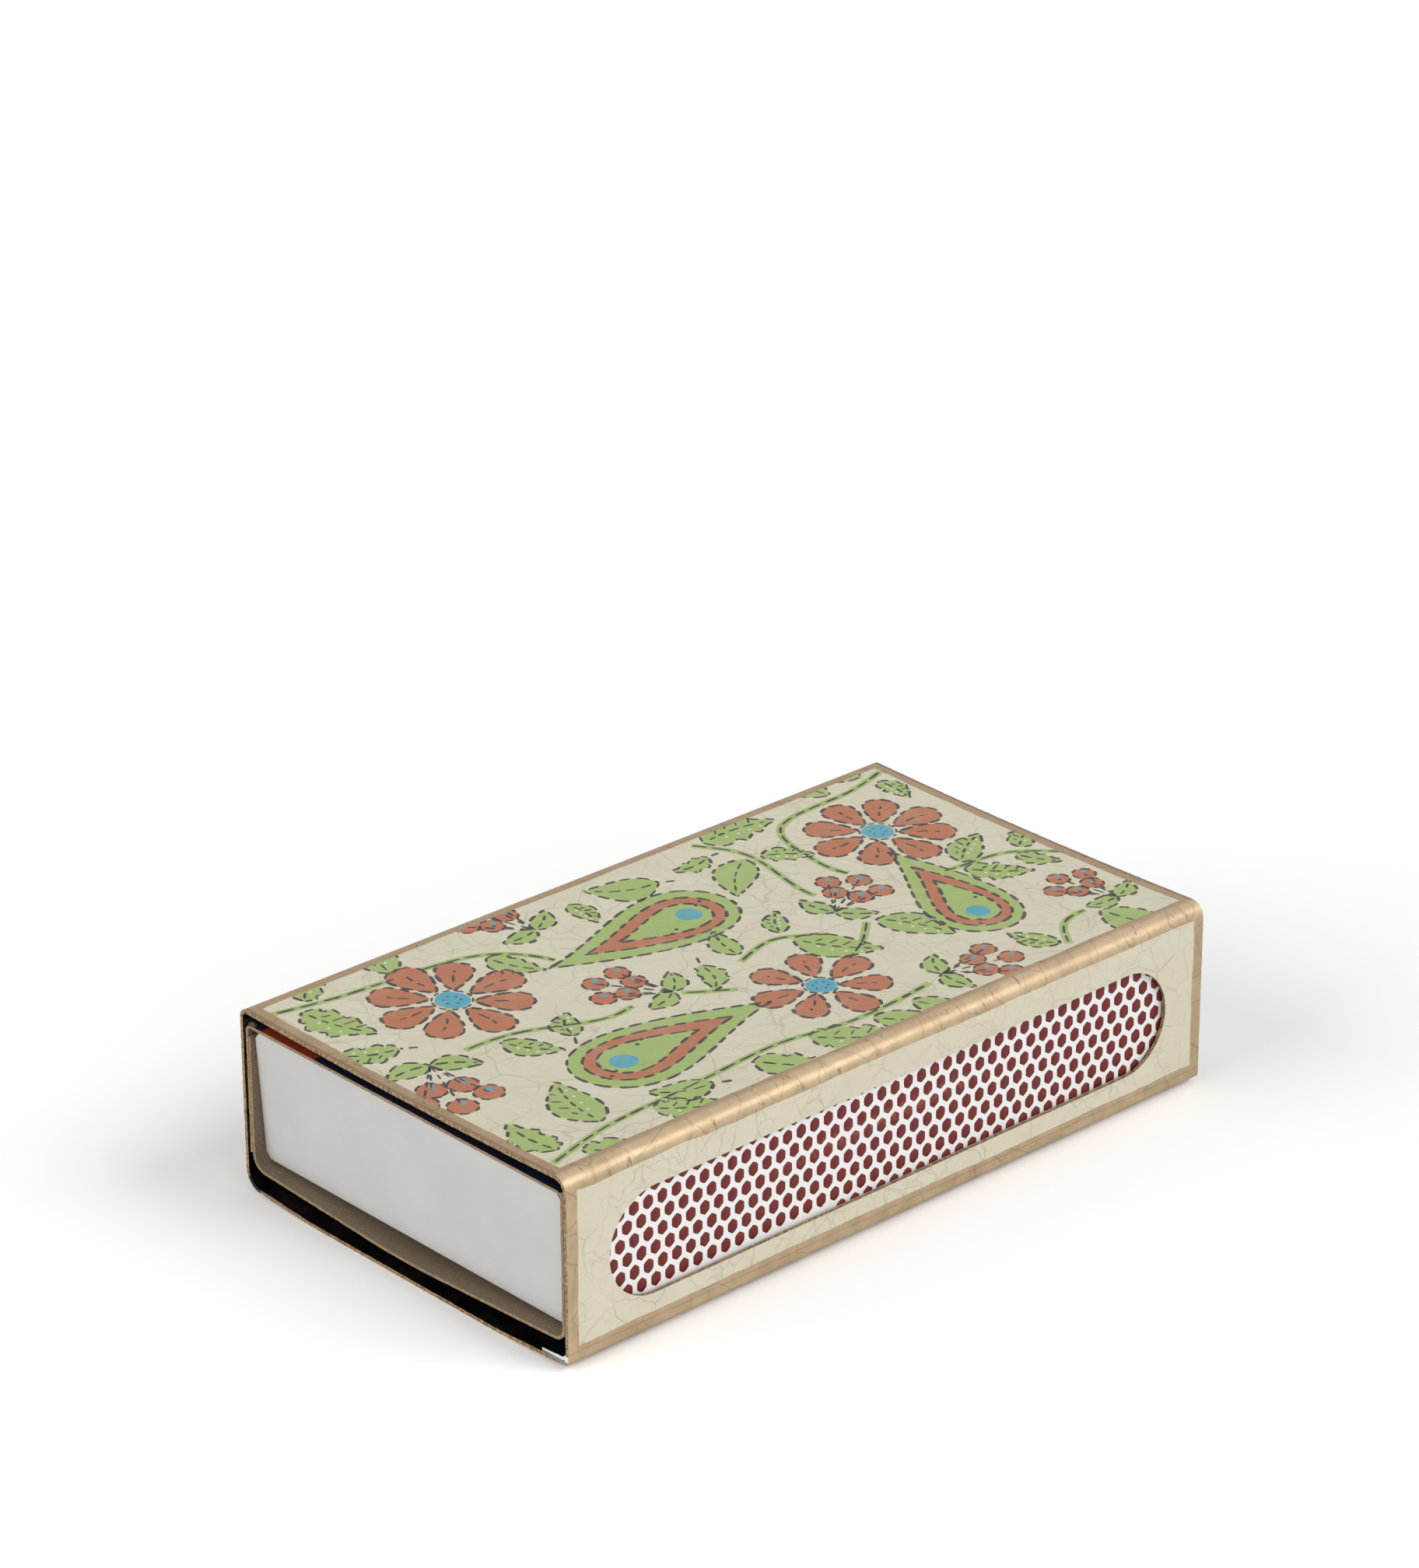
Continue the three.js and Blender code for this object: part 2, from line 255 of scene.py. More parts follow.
# The rubbed streak on the striking dots: its height, slope and middle
RUB_HEIGHT, RUB_SLOPE, RUB_MIDDLE = 16.4, 0.02, -2.0

# Each ink of the print: its colour, how mottled it is and the colour of the mottles
INKS = {
    "green": (rgb(162, 184, 108), 0.22, rgb(142, 164, 90)),
    "rust": (rgb(182, 112, 78), 0.35, rgb(166, 95, 64)),
    "blue": (rgb(86, 166, 186), 0.3, rgb(62, 138, 160)),
    "ink": (rgb(42, 34, 37), 0.2, rgb(72, 60, 60)),
    "white": (rgb(226, 224, 210), 0.2, rgb(205, 200, 180)),
}


def gold_mask(t):
    """1 where the gold paint lies: along all edges of the holder, with a hand-painted wobble."""
    x, y, z = t.xyz()
    wobble = t.mul(t.sub(t.noise(12, 2, 0.5), 0.5), 0.9)
    fine = t.mul(t.sub(t.noise(0.9, 2, 0.6), 0.5), 0.22)
    ends = t.sub(t.absolute(y), GOLD_ENDS)
    heights = t.larger(t.sub(GOLD_LOW, z), t.sub(z, GOLD_HIGH))
    widths = t.larger(t.sub(x, GOLD_RIGHT), t.sub(t.mul(x, -1.0), GOLD_LEFT))
    inside = t.add(t.larger(ends, t.smaller(widths, heights)), t.add(wobble, fine))
    return t.ramp(inside, -0.05, 0.07)


def crackle(t, size, warp, width, seed):
    """Thin lines of old lacquer: 1 on the crack."""
    swirl = t.node("TexNoise")
    t.put(swirl.inputs["Vector"], t.at())
    swirl.inputs["Scale"].default_value = 0.55 / size
    swirl.inputs["Detail"].default_value = 5
    push = t.node("VectorMath", operation="SCALE")
    t.put(push.inputs[0], swirl.outputs["Color"])
    push.inputs["Scale"].default_value = warp
    bent = t.node("VectorMath", operation="ADD")
    t.put(bent.inputs[0], t.at())
    t.put(bent.inputs[1], push.outputs[0])
    moved = t.node("VectorMath", operation="ADD")
    t.put(moved.inputs[0], bent.outputs[0])
    moved.inputs[1].default_value = (seed, 2 * seed, 3 * seed)
    cells = t.node("TexVoronoi", feature="DISTANCE_TO_EDGE")
    t.put(cells.inputs["Vector"], moved.outputs[0])
    cells.inputs["Scale"].default_value = 1 / size
    return t.ramp(t.mul(cells.outputs["Distance"], size), width, 0.0)


def old_paper(t, color, bare):
    """A paper colour with stains and crackle, and its normal, which is flat where bare is 0."""
    large = crackle(t, *LARGE_CRACKS)
    small = crackle(t, 4.2, 6.5, 0.12, 31.0)
    large = t.mul(large, t.ramp(t.noise(14, 2, 0.5), 0.36, 0.54, 0.25, 1.0))
    small = t.mul(small, t.ramp(t.noise(11, 2, 0.5, warp=0.6), 0.40, 0.60, 0.2, 0.9))
    cracks = t.larger(large, small)
    stain = t.ramp(t.noise(7, 5, 0.62), 0.35, 0.72)
    grain = t.ramp(t.noise(0.7, 4, 0.7), 0.3, 0.7)
    c = t.mix(t.mul(stain, 0.2), color, rgb(196, 184, 148))
    c = t.mix(t.mul(grain, 0.10), c, rgb(236, 232, 214))
    c = t.mix(t.mul(cracks, 0.34), c, rgb(146, 134, 108))
    soft = crackle(t, 5.5, 6.0, 0.55, 12.0)
    fibres = t.mul(t.noise(0.5, 3, 0.6), 0.16)
    relief = t.add(fibres, t.add(t.mul(cracks, 0.7), soft))
    return c, t.bump(t.mul(relief, bare), 0.045)


def gold_over(t, color, normal, cover):
    """Gold paint over a colour, as thick as cover says, with brush marks and small cracks, and a painted
    shade that darkens the gold on the top face.
    """
    mask = t.mul(gold_mask(t), cover)
    x, y, z = t.xyz()
    tone = t.ramp(t.noise(3.4, 3, 0.55), 0.25, 0.75)
    gold = t.mix(tone, rgb(184, 160, 126), rgb(204, 180, 145))
    # Painted shade: the gold on the top face is darkened to brown, all but the rounded right edge, which
    # keeps the lighter gold
    top_face_shade = t.mul(t.ramp(z, HEIGHT - 1.3, HEIGHT - 0.9), t.ramp(x, HALF - 1.55, HALF - 2.75))
    gold = t.mix(t.mul(top_face_shade, 0.65), gold, rgb(144, 116, 82))
    rim = t.mul(t.ramp(t.absolute(y), LENGTH / 2 - 0.75, LENGTH / 2 - 0.4), top_face_shade)
    gold = t.mix(t.mul(rim, 0.6), gold, rgb(104, 74, 46))
    cross = crackle(t, 7.5, 3.0, 0.11, 77.0)
    wear = t.ramp(t.noise(1.7, 4, 0.7), 0.62, 0.74)
    gold = t.mix(t.mul(cross, 0.40), gold, rgb(120, 92, 60))
    gold = t.mix(t.mul(wear, 0.22), gold, rgb(150, 120, 84))
    across = t.absolute(t.sub(t.noise(2.6, 2, 0.6, scale=(0.12, 1, 0.12)), 0.5))
    nick = t.mul(t.ramp(across, 0.010, 0.003), t.ramp(z, HEIGHT - 3.5, HEIGHT - 1.5))
    nick = t.mul(nick, t.ramp(t.noise(1.8, 3, 0.7), 0.40, 0.55))
    gold = t.mix(t.mul(nick, 0.6), gold, rgb(92, 66, 42))
    return t.mix(mask, color, gold), t.bump(t.noise(0.55, 3, 0.6), 0.028, normal), mask


def paper_and_gold():
    """The holder's outside: cream paper with gold edges."""
    t = Tree("cream_paper_gold_edges")
    paper, normal = old_paper(t, CREAM, t.sub(1.0, gold_mask(t)))
    c, normal, mask = gold_over(t, paper, normal, 1.0)
    rough = t.add(t.mul(mask, -0.16), t.ramp(t.noise(3, 3), 0.3, 0.7, 0.50, 0.60))
    return t.done(c, rough, normal, Metallic=t.mul(mask, 0.42))


def print_ink(name, color, mottle, dark):
    """A flat ink of the print: mottled, under the same lacquer and the same gold edge."""
    t = Tree(name)
    c = t.mix(t.ramp(t.noise(1.3, 4, 0.7), 0.35, 0.7, 0.0, mottle), color, dark)
    c = t.mix(t.ramp(t.noise(5, 3, 0.6), 0.45, 0.75, 0.0, 0.12), c, rgb(216, 208, 176))
    cracks = t.mul(crackle(t, *LARGE_CRACKS), t.ramp(t.noise(14, 2, 0.5), 0.42, 0.56))
    c = t.mix(t.mul(cracks, 0.35), c, rgb(150, 140, 112))
    c, normal, mask = gold_over(t, c, t.bump(t.noise(0.5, 3), 0.012), 0.86)
    return t.done(c, 0.5, normal, Metallic=t.mul(mask, 0.55))


def black_inside():
    """Glossy black paint."""
    t = Tree("black_inside")
    c = t.mix(t.ramp(t.noise(3, 3), 0.4, 0.8), rgb(14, 12, 13), rgb(34, 30, 28))
    return t.done(c, t.ramp(t.noise(5, 3), 0.3, 0.7, 0.16, 0.30), t.bump(t.noise(2.2, 3), 0.03))


def gilt_cut():
    """The cut edge of the holder: tan and gold, flaked, with dark pits, and a painted highlight along the
    lap's cut edge.
    """
    t = Tree("gilt_cut_edge")
    f = t.noise(0.45, 4, 0.75)
    c = t.mix(t.ramp(f, 0.36, 0.60), rgb(98, 72, 44), rgb(184, 154, 110))
    c = t.mix(t.ramp(t.noise(0.3, 3, 0.8), 0.64, 0.72), c, rgb(226, 208, 170))
    c = t.mix(t.ramp(t.noise(1.1, 4, 0.8), 0.60, 0.68), c, rgb(58, 40, 28))
    x, y, z = t.xyz()
    ragged = t.mul(t.sub(t.noise(0.8, 3, 0.7), 0.5), 1.4)
    corner_x, corner_z = t.add(x, ragged), t.add(z, ragged)
    worn_corner = t.mul(t.ramp(corner_x, 3.15 - HALF, 2.85 - HALF), t.ramp(corner_z, 2.9, 2.6))
    c = t.mix(worn_corner, c, rgb(22, 18, 17))
    # The lap's cut edge: bare grey board below, and a painted cyan-white highlight along its upper part
    lap = t.mul(t.ramp(x, HALF - 5.3, HALF - 5.15), t.mul(t.ramp(z, 0.95, 1.1), t.ramp(z, 2.3, 2.2)))
    c = t.mix(lap, c, t.mix(t.ramp(z, 1.35, 1.5), rgb(150, 146, 138), rgb(226, 238, 240)))
    return t.done(c, 0.5, t.bump(f, 0.09), Metallic=0.25)


def bare_card():
    """Brown-grey card, as it is inside the sleeve and the tray."""
    t = Tree("bare_card")
    fibres = t.noise(0.35, 4, 0.7, scale=(1.6, 1, 1.6))
    c = t.mix(t.ramp(fibres, 0.3, 0.7), rgb(108, 92, 74), rgb(134, 117, 95))
    c = t.mix(t.ramp(t.noise(1.6, 4, 0.8), 0.64, 0.72), c, rgb(86, 66, 50))
    return t.done(c, 0.85, t.bump(fibres, 0.03))


def card_cut():
    """The rough cut edge of card."""
    t = Tree("card_cut_edge")
    f = t.noise(0.22, 4, 0.75)
    c = t.mix(t.ramp(f, 0.34, 0.62), rgb(118, 94, 66), rgb(172, 148, 112))
    c = t.mix(t.ramp(t.noise(1.3, 3, 0.8), 0.60, 0.70), c, rgb(84, 62, 42))
    return t.done(c, 0.8, t.bump(f, 0.08))


def sleeve_print():
    """Outside of the sleeve: white striking sides, navy elsewhere, one red stripe along the top."""
    t = Tree("sleeve_print")
    x, y, z = t.xyz()
    side = t.ramp(t.absolute(x), SLEEVE_HALF - 0.55, SLEEVE_HALF - 0.4)
    red = t.mul(t.ramp(x, RED_FROM - 0.05, RED_FROM + 0.05), t.ramp(x, RED_TO + 0.05, RED_TO - 0.05))
    speck = t.ramp(t.noise(0.4, 3, 0.8), 0.66, 0.72)
    dark = t.mix(red, rgb(22, 26, 44), rgb(152, 54, 40))
    dark = t.mix(t.mul(speck, 0.5), dark, rgb(120, 110, 110))
    c = t.mix(side, dark, rgb(246, 245, 243))
    return t.done(c, t.ramp(t.noise(6, 3), 0.3, 0.7, 0.42, 0.52), t.bump(t.noise(1.2, 3), 0.01), IOR=1.35)


def striker():
    """Maroon striking paste, rubbed pale along one streak."""
    t = Tree("striker_maroon")
    f = t.noise(0.25, 3, 0.7)
    c = t.mix(t.ramp(f, 0.3, 0.7), rgb(102, 34, 32), rgb(124, 46, 42))
    x, y, z = t.xyz()
    off_streak = t.absolute(t.sub(z, t.add(RUB_HEIGHT, t.mul(y, RUB_SLOPE))))
    along = t.absolute(t.sub(y, RUB_MIDDLE))
    rub = t.mul(t.ramp(off_streak, 1.6, 0.2), t.ramp(along, 26.0, 8.0))
    c = t.mix(t.mul(rub, t.ramp(t.noise(0.8, 4, 0.8), 0.4, 0.65, 0.0, 0.5)), c, rgb(196, 120, 104))
    return t.done(c, 0.42, t.bump(f, 0.02), IOR=1.35)


def tray_white():
    """White coated card with a few specks of dirt."""
    t = Tree("tray_white")
    dirt = t.ramp(t.noise(0.5, 3, 0.9), 0.71, 0.75)
    c = t.mix(t.ramp(t.noise(9, 4), 0.3, 0.7), rgb(203, 202, 199), rgb(208, 207, 203))
    c = t.mix(t.mul(dirt, 0.35), c, rgb(140, 138, 138))
    return t.done(c, 0.62, t.bump(t.noise(1.6, 4), 0.012))


def wood():
    """Pale wood with its grain along X and another tone for each match."""
    t = Tree("match_wood")
    grain = t.noise(0.5, 4, 0.6, scale=(0.06, 1, 1))
    c = t.mix(t.ramp(grain, 0.3, 0.7), rgb(222, 196, 150), rgb(240, 222, 184))
    tone = t.noise(2.2, 1, 0.5, scale=(0.02, 1, 1))
    c = t.mix(t.ramp(tone, 0.35, 0.65, 0.0, 0.35), c, rgb(204, 170, 118))
    return t.done(c, 0.7, t.bump(grain, 0.05))


def head_red():
    """The maroon of the match heads."""
    t = Tree("match_head")
    f = t.noise(0.3, 4, 0.7)
    c = t.mix(t.ramp(f, 0.3, 0.7), rgb(104, 34, 34), rgb(142, 56, 50))
    return t.done(c, 0.62, t.bump(f, 0.10))


def round_line(corners, step):
    """Rounds each corner (x, z, r) of an open line with an arc of radius r."""
    line = []
    for i, (x, z, r) in enumerate(corners):
        p = Vector((x, z))
        if r == 0 or i in (0, len(corners) - 1):
            line.append(p)
            continue
        a = (Vector(corners[i - 1][:2]) - p).normalized()
        b = (Vector(corners[i + 1][:2]) - p).normalized()
        half = a.angle(b) / 2
        c = p + (a + b).normalized() * (r / math.sin(half))
        s = p + a * (r / math.tan(half)) - c
        e = p + b * (r / math.tan(half)) - c
        turn = math.atan2(s.x * e.y - s.y * e.x, s.dot(e))
        n = max(2, round(abs(math.degrees(turn)) / step))
        for k in range(n + 1):
            q = turn * k / n
            turned = (s.x * math.cos(q) - s.y * math.sin(q), s.x * math.sin(q) + s.y * math.cos(q))
            line.append(c + Vector(turned))
    return line


def resample(line, gap):
    """The same line with no stretch longer than gap."""
    out = [line[0]]
    for a, b in zip(line, line[1:]):
        n = max(1, math.ceil((b - a).length / gap))
        out += [a.lerp(b, k / n) for k in range(1, n + 1)]
    return out


def offset(line, t):
    """The line moved t to its right."""
    out = []
    for i, p in enumerate(line):
        a = p - line[i - 1] if i else line[1] - p
        b = line[i + 1] - p if i < len(line) - 1 else a
        a, b = a.normalized(), b.normalized()
        m = Vector((a.y + b.y, -a.x - b.x)).normalized()
        out.append(p + m * (t / (m.x * a.y - m.y * a.x)))
    return out


def close_sheet(bm, o, i, cut_rim=False):
    """Faces of a sheet between its outer and inner grid. Materials: 0 outside, 1 inside, 2 cut edges."""
    rows, cols = len(o) - 1, len(o[0]) - 1
    for k in range(rows):
        for j in range(cols):
            rim = cut_rim and (j in (0, cols - 1) or k == 0)
            face = bm.faces.new((o[k][j], o[k][j + 1], o[k + 1][j + 1], o[k + 1][j]))
            face.material_index = 2 if rim else 0
            bm.faces.new((i[k][j + 1], i[k][j], i[k + 1][j], i[k + 1][j + 1])).material_index = 1
        for j in (0, cols):
            bm.faces.new((o[k][j], i[k][j], i[k + 1][j], o[k + 1][j])).material_index = 2
    for k in (0, rows):
        for j in range(cols):
            bm.faces.new((o[k][j], o[k][j + 1], i[k][j + 1], i[k][j])).material_index = 2
    bmesh.ops.recalc_face_normals(bm, faces=bm.faces)


def sheet_mesh(name, line, t, length, gap, mats, fray, rows):
    """A closed sheet: line outside, its offset inside, drawn along Y, with both ends frayed."""
    line = resample(line, gap)
    bm = bmesh.new()
    grids = []
    for side, pts in enumerate((line, offset(line, t))):
        grid = []
        for k in range(rows + 1):
            s = -1 + 2 * k / rows
            row = []
            for p in pts:
                y = s * length / 2
                if k in (0, rows):
                    nibble = noise.noise(Vector((p.x * 2.3, p.y * 2.3, s * 7 + side * 0.6)))
                    y -= s * fray * (0.5 + 0.5 * nibble)
                row.append(bm.verts.new((p.x, y, p.y)))
            grid.append(row)
        grids.append(grid)
    close_sheet(bm, *grids)
    return piece(name, bm, mats)


def piece(name, bm, mats, smooth=True, sharp=32):
    """Makes an object in metres from a mesh in millimetres."""
    bmesh.ops.scale(bm, vec=(MM, MM, MM), verts=bm.verts)
    me = bpy.data.meshes.new(name)
    bm.to_mesh(me)
    bm.free()
    for m in mats:
        me.materials.append(m)
    if smooth:
        me.shade_smooth()
        me.set_sharp_from_angle(angle=math.radians(sharp))
    o = bpy.data.objects.new(name, me)
    bpy.context.scene.collection.objects.link(o)
    return o


def band(bm, a, b, index=0):
    """Joins two rings of vertices with faces."""
    for k in range(len(a)):
        q = (k + 1) % len(a)
        bm.faces.new((a[k], a[q], b[q], b[k])).material_index = index


def apply_modifiers(o):
    """Turns an object's modifiers into its mesh."""
    dg = bpy.context.evaluated_depsgraph_get()
    me = bpy.data.meshes.new_from_object(o.evaluated_get(dg))
    o.modifiers.clear()
    o.data = me


def bottom_z(x, half, flat, lift, base=0.0):
    """Height of a bottom that is flat in the middle and rises by lift up to its sides."""
    return base + lift * max(0.0, (abs(x) - flat) / (half - flat))


def top_z(x):
    """Height of the holder's top face."""
    share = (x + HALF) / WIDTH
    return HEIGHT - 4 * SAG * share * (1 - share)


def window_cutter(mats):
    """A bar with round ends that cuts the window."""
    bm = bmesh.new()
    r = (WINDOW_HIGH - WINDOW_LOW) / 2
    middle = (WINDOW_HIGH + WINDOW_LOW) / 2
    ring = []
    for side in (1, -1):
        for k in range(33):
            a = math.radians(side * 90 - 180 * k / 32)
            ring.append((side * (WINDOW_LENGTH / 2 - r) + r * math.cos(a), middle + r * math.sin(a)))
    lo = [bm.verts.new((HALF - 6, y, z)) for y, z in ring]
    hi = [bm.verts.new((HALF + 6, y, z)) for y, z in ring]
    bm.faces.new(lo).material_index = 2
    bm.faces.new(hi[::-1]).material_index = 2
    band(bm, hi, lo, 2)
    bmesh.ops.recalc_face_normals(bm, faces=bm.faces)
    return piece("window_cutter", bm, mats, smooth=False)


def holder():
    """The folded sheet, from its start inside the lap seam round to the lap, with its window."""
    low_left, high_left, high_right, low_right = 3.0, 1.4, 2.2, 1.5
    lap, top_steps = 5.2, 24
    over = SHEET + GLUE
    start = HALF - SHEET
    inner = HALF - low_left
    c = [(start, bottom_z(start, HALF, FLAT, LIFT), 0), (FLAT, 0, SOFT_BEND), (-FLAT, 0, SOFT_BEND),
         (-inner, bottom_z(inner, HALF, FLAT, LIFT), 0), (-HALF, LIFT, low_left), (-HALF, HEIGHT, high_left)]
    for k in range(1, top_steps):
        x = -HALF + WIDTH * k / top_steps
        c.append((x, top_z(x), 0))
    c += [(HALF, HEIGHT, high_right), (HALF, LIFT + over, low_right),
          (HALF - lap, bottom_z(HALF - lap, HALF, FLAT, LIFT, over), 0)]
    o = sheet_mesh("holder_skin", round_line(c, 6), SHEET, LENGTH, 0.8,
                   [paper_and_gold(), black_inside(), gilt_cut()], 0.14, 60)
    cut = window_cutter(list(o.data.materials))
    mod = o.modifiers.new("window", "BOOLEAN")
    mod.object = cut
    mod.operation = "DIFFERENCE"
    mod.solver = "EXACT"
    mod.material_mode = "TRANSFER"
    apply_modifiers(o)
    bpy.data.objects.remove(cut, do_unlink=True)
    # The skin stays inside the height of the solids
    for v in o.data.vertices:
        v.co.z = min(max(v.co.z, cad_box[0][2]), cad_box[1][2])
    o.data.shade_smooth()
    o.data.set_sharp_from_angle(angle=math.radians(32))
    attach(o, "holder")
    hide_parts("holder_shell")


def seam_wrap():
    """The paper and paint that run on round the outside of the lap seam."""
    rows, end = 60, 59.97
    bm = bmesh.new()
    start = HALF - SHEET
    z0 = bottom_z(start, HALF, FLAT, LIFT)
    pts = [(start - 0.9, z0 - 0.06), (start + 0.1, z0), (HALF - 0.12, z0 + 0.28), (HALF - 0.02, z0 + 0.8),
           (HALF - 0.01, z0 + 1.7), (HALF - 0.3, z0 + 1.5), (start - 0.2, z0 + 0.62), (start - 0.9, z0 + 0.2)]
    rings = []
    for k in range(rows + 1):
        y = end * (2 * k / rows - 1)
        rings.append([bm.verts.new((x, y, z)) for x, z in pts])
    for a, b in zip(rings, rings[1:]):
        band(bm, a, b)
    bm.faces.new(rings[0][::-1]).material_index = 1
    bm.faces.new(rings[-1]).material_index = 1
    bmesh.ops.recalc_face_normals(bm, faces=bm.faces)
    mats = [bpy.data.materials[name] for name in ("cream_paper_gold_edges", "gilt_cut_edge")]
    o = piece("seam_wrap", bm, mats, sharp=50)
    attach(o, "holder")


# The print on the top face: its edges, the room that stems and leaves keep to them, and the distance
# between the cuts that let a wide plate follow the sag
PRINT_X = (-31.4, 30.6)
PRINT_Y = 59.7
STEM_MARGIN, LEAF_LIMIT = 0.8, 31
PLATE_CUTS = 4

# How far each layer of ink stands up from the paper, and how deep its foot is
STEM_LIFT, LEAF_LIFT, BERRY_LIFT, STRIPE_LIFT, HEART_LIFT = 0.007, 0.010, 0.012, 0.016, 0.022
PETAL_STEP = 0.00075
MIDDLE_LIFT, DASH_LIFT, SEED_LIFT, EYE_LIFT, DOT_LIFT = 0.0225, 0.025, 0.0275, 0.028, 0.030
INK_FOOT = -0.03

# Half a stem's width, and the fewest points of a stretch of stem
STEM_HALF = 0.62
SHORTEST_STEM = 8


def place(local, spot):
    """Local points turned, scaled and moved to a spot, which is (x, y, angle, size)."""
    x, y, angle, size = spot
    c, s = math.cos(angle), math.sin(angle)
    return [(x + size * (u * c - v * s), y + size * (u * s + v * c)) for u, v in local]


def circle(x, y, r, per_radian):
    """Points on a circle, so many for each radian."""
    angles = [k / per_radian for k in range(round(6 * per_radian) + 1)]
    return [(x + r * math.cos(a), y + r * math.sin(a)) for a in angles]


def smooth(corners):
    """A smooth curve through its corners."""
    pts = [Vector(p) for p in corners]
    pts = [pts[0]] + pts + [pts[-1]]
    line = []
    for k in range(1, len(pts) - 2):
        a, b, c, d = pts[k - 1:k + 3]
        for j in range(12):
            t = j / 12
            line.append(0.5 * (2 * b + (c - a) * t + (2 * a - 5 * b + 4 * c - d) * t * t
                               + (3 * b - a - 3 * c + d) * t ** 3))
    line.append(pts[-1])
    return line


def slice_plate(bm, at, way, clear):
    """Cuts a plate along a plane, and clears what lies beyond it if asked to."""
    bmesh.ops.bisect_plane(bm, geom=bm.verts[:] + bm.edges[:] + bm.faces[:], plane_co=at, plane_no=way,
                           clear_outer=clear)


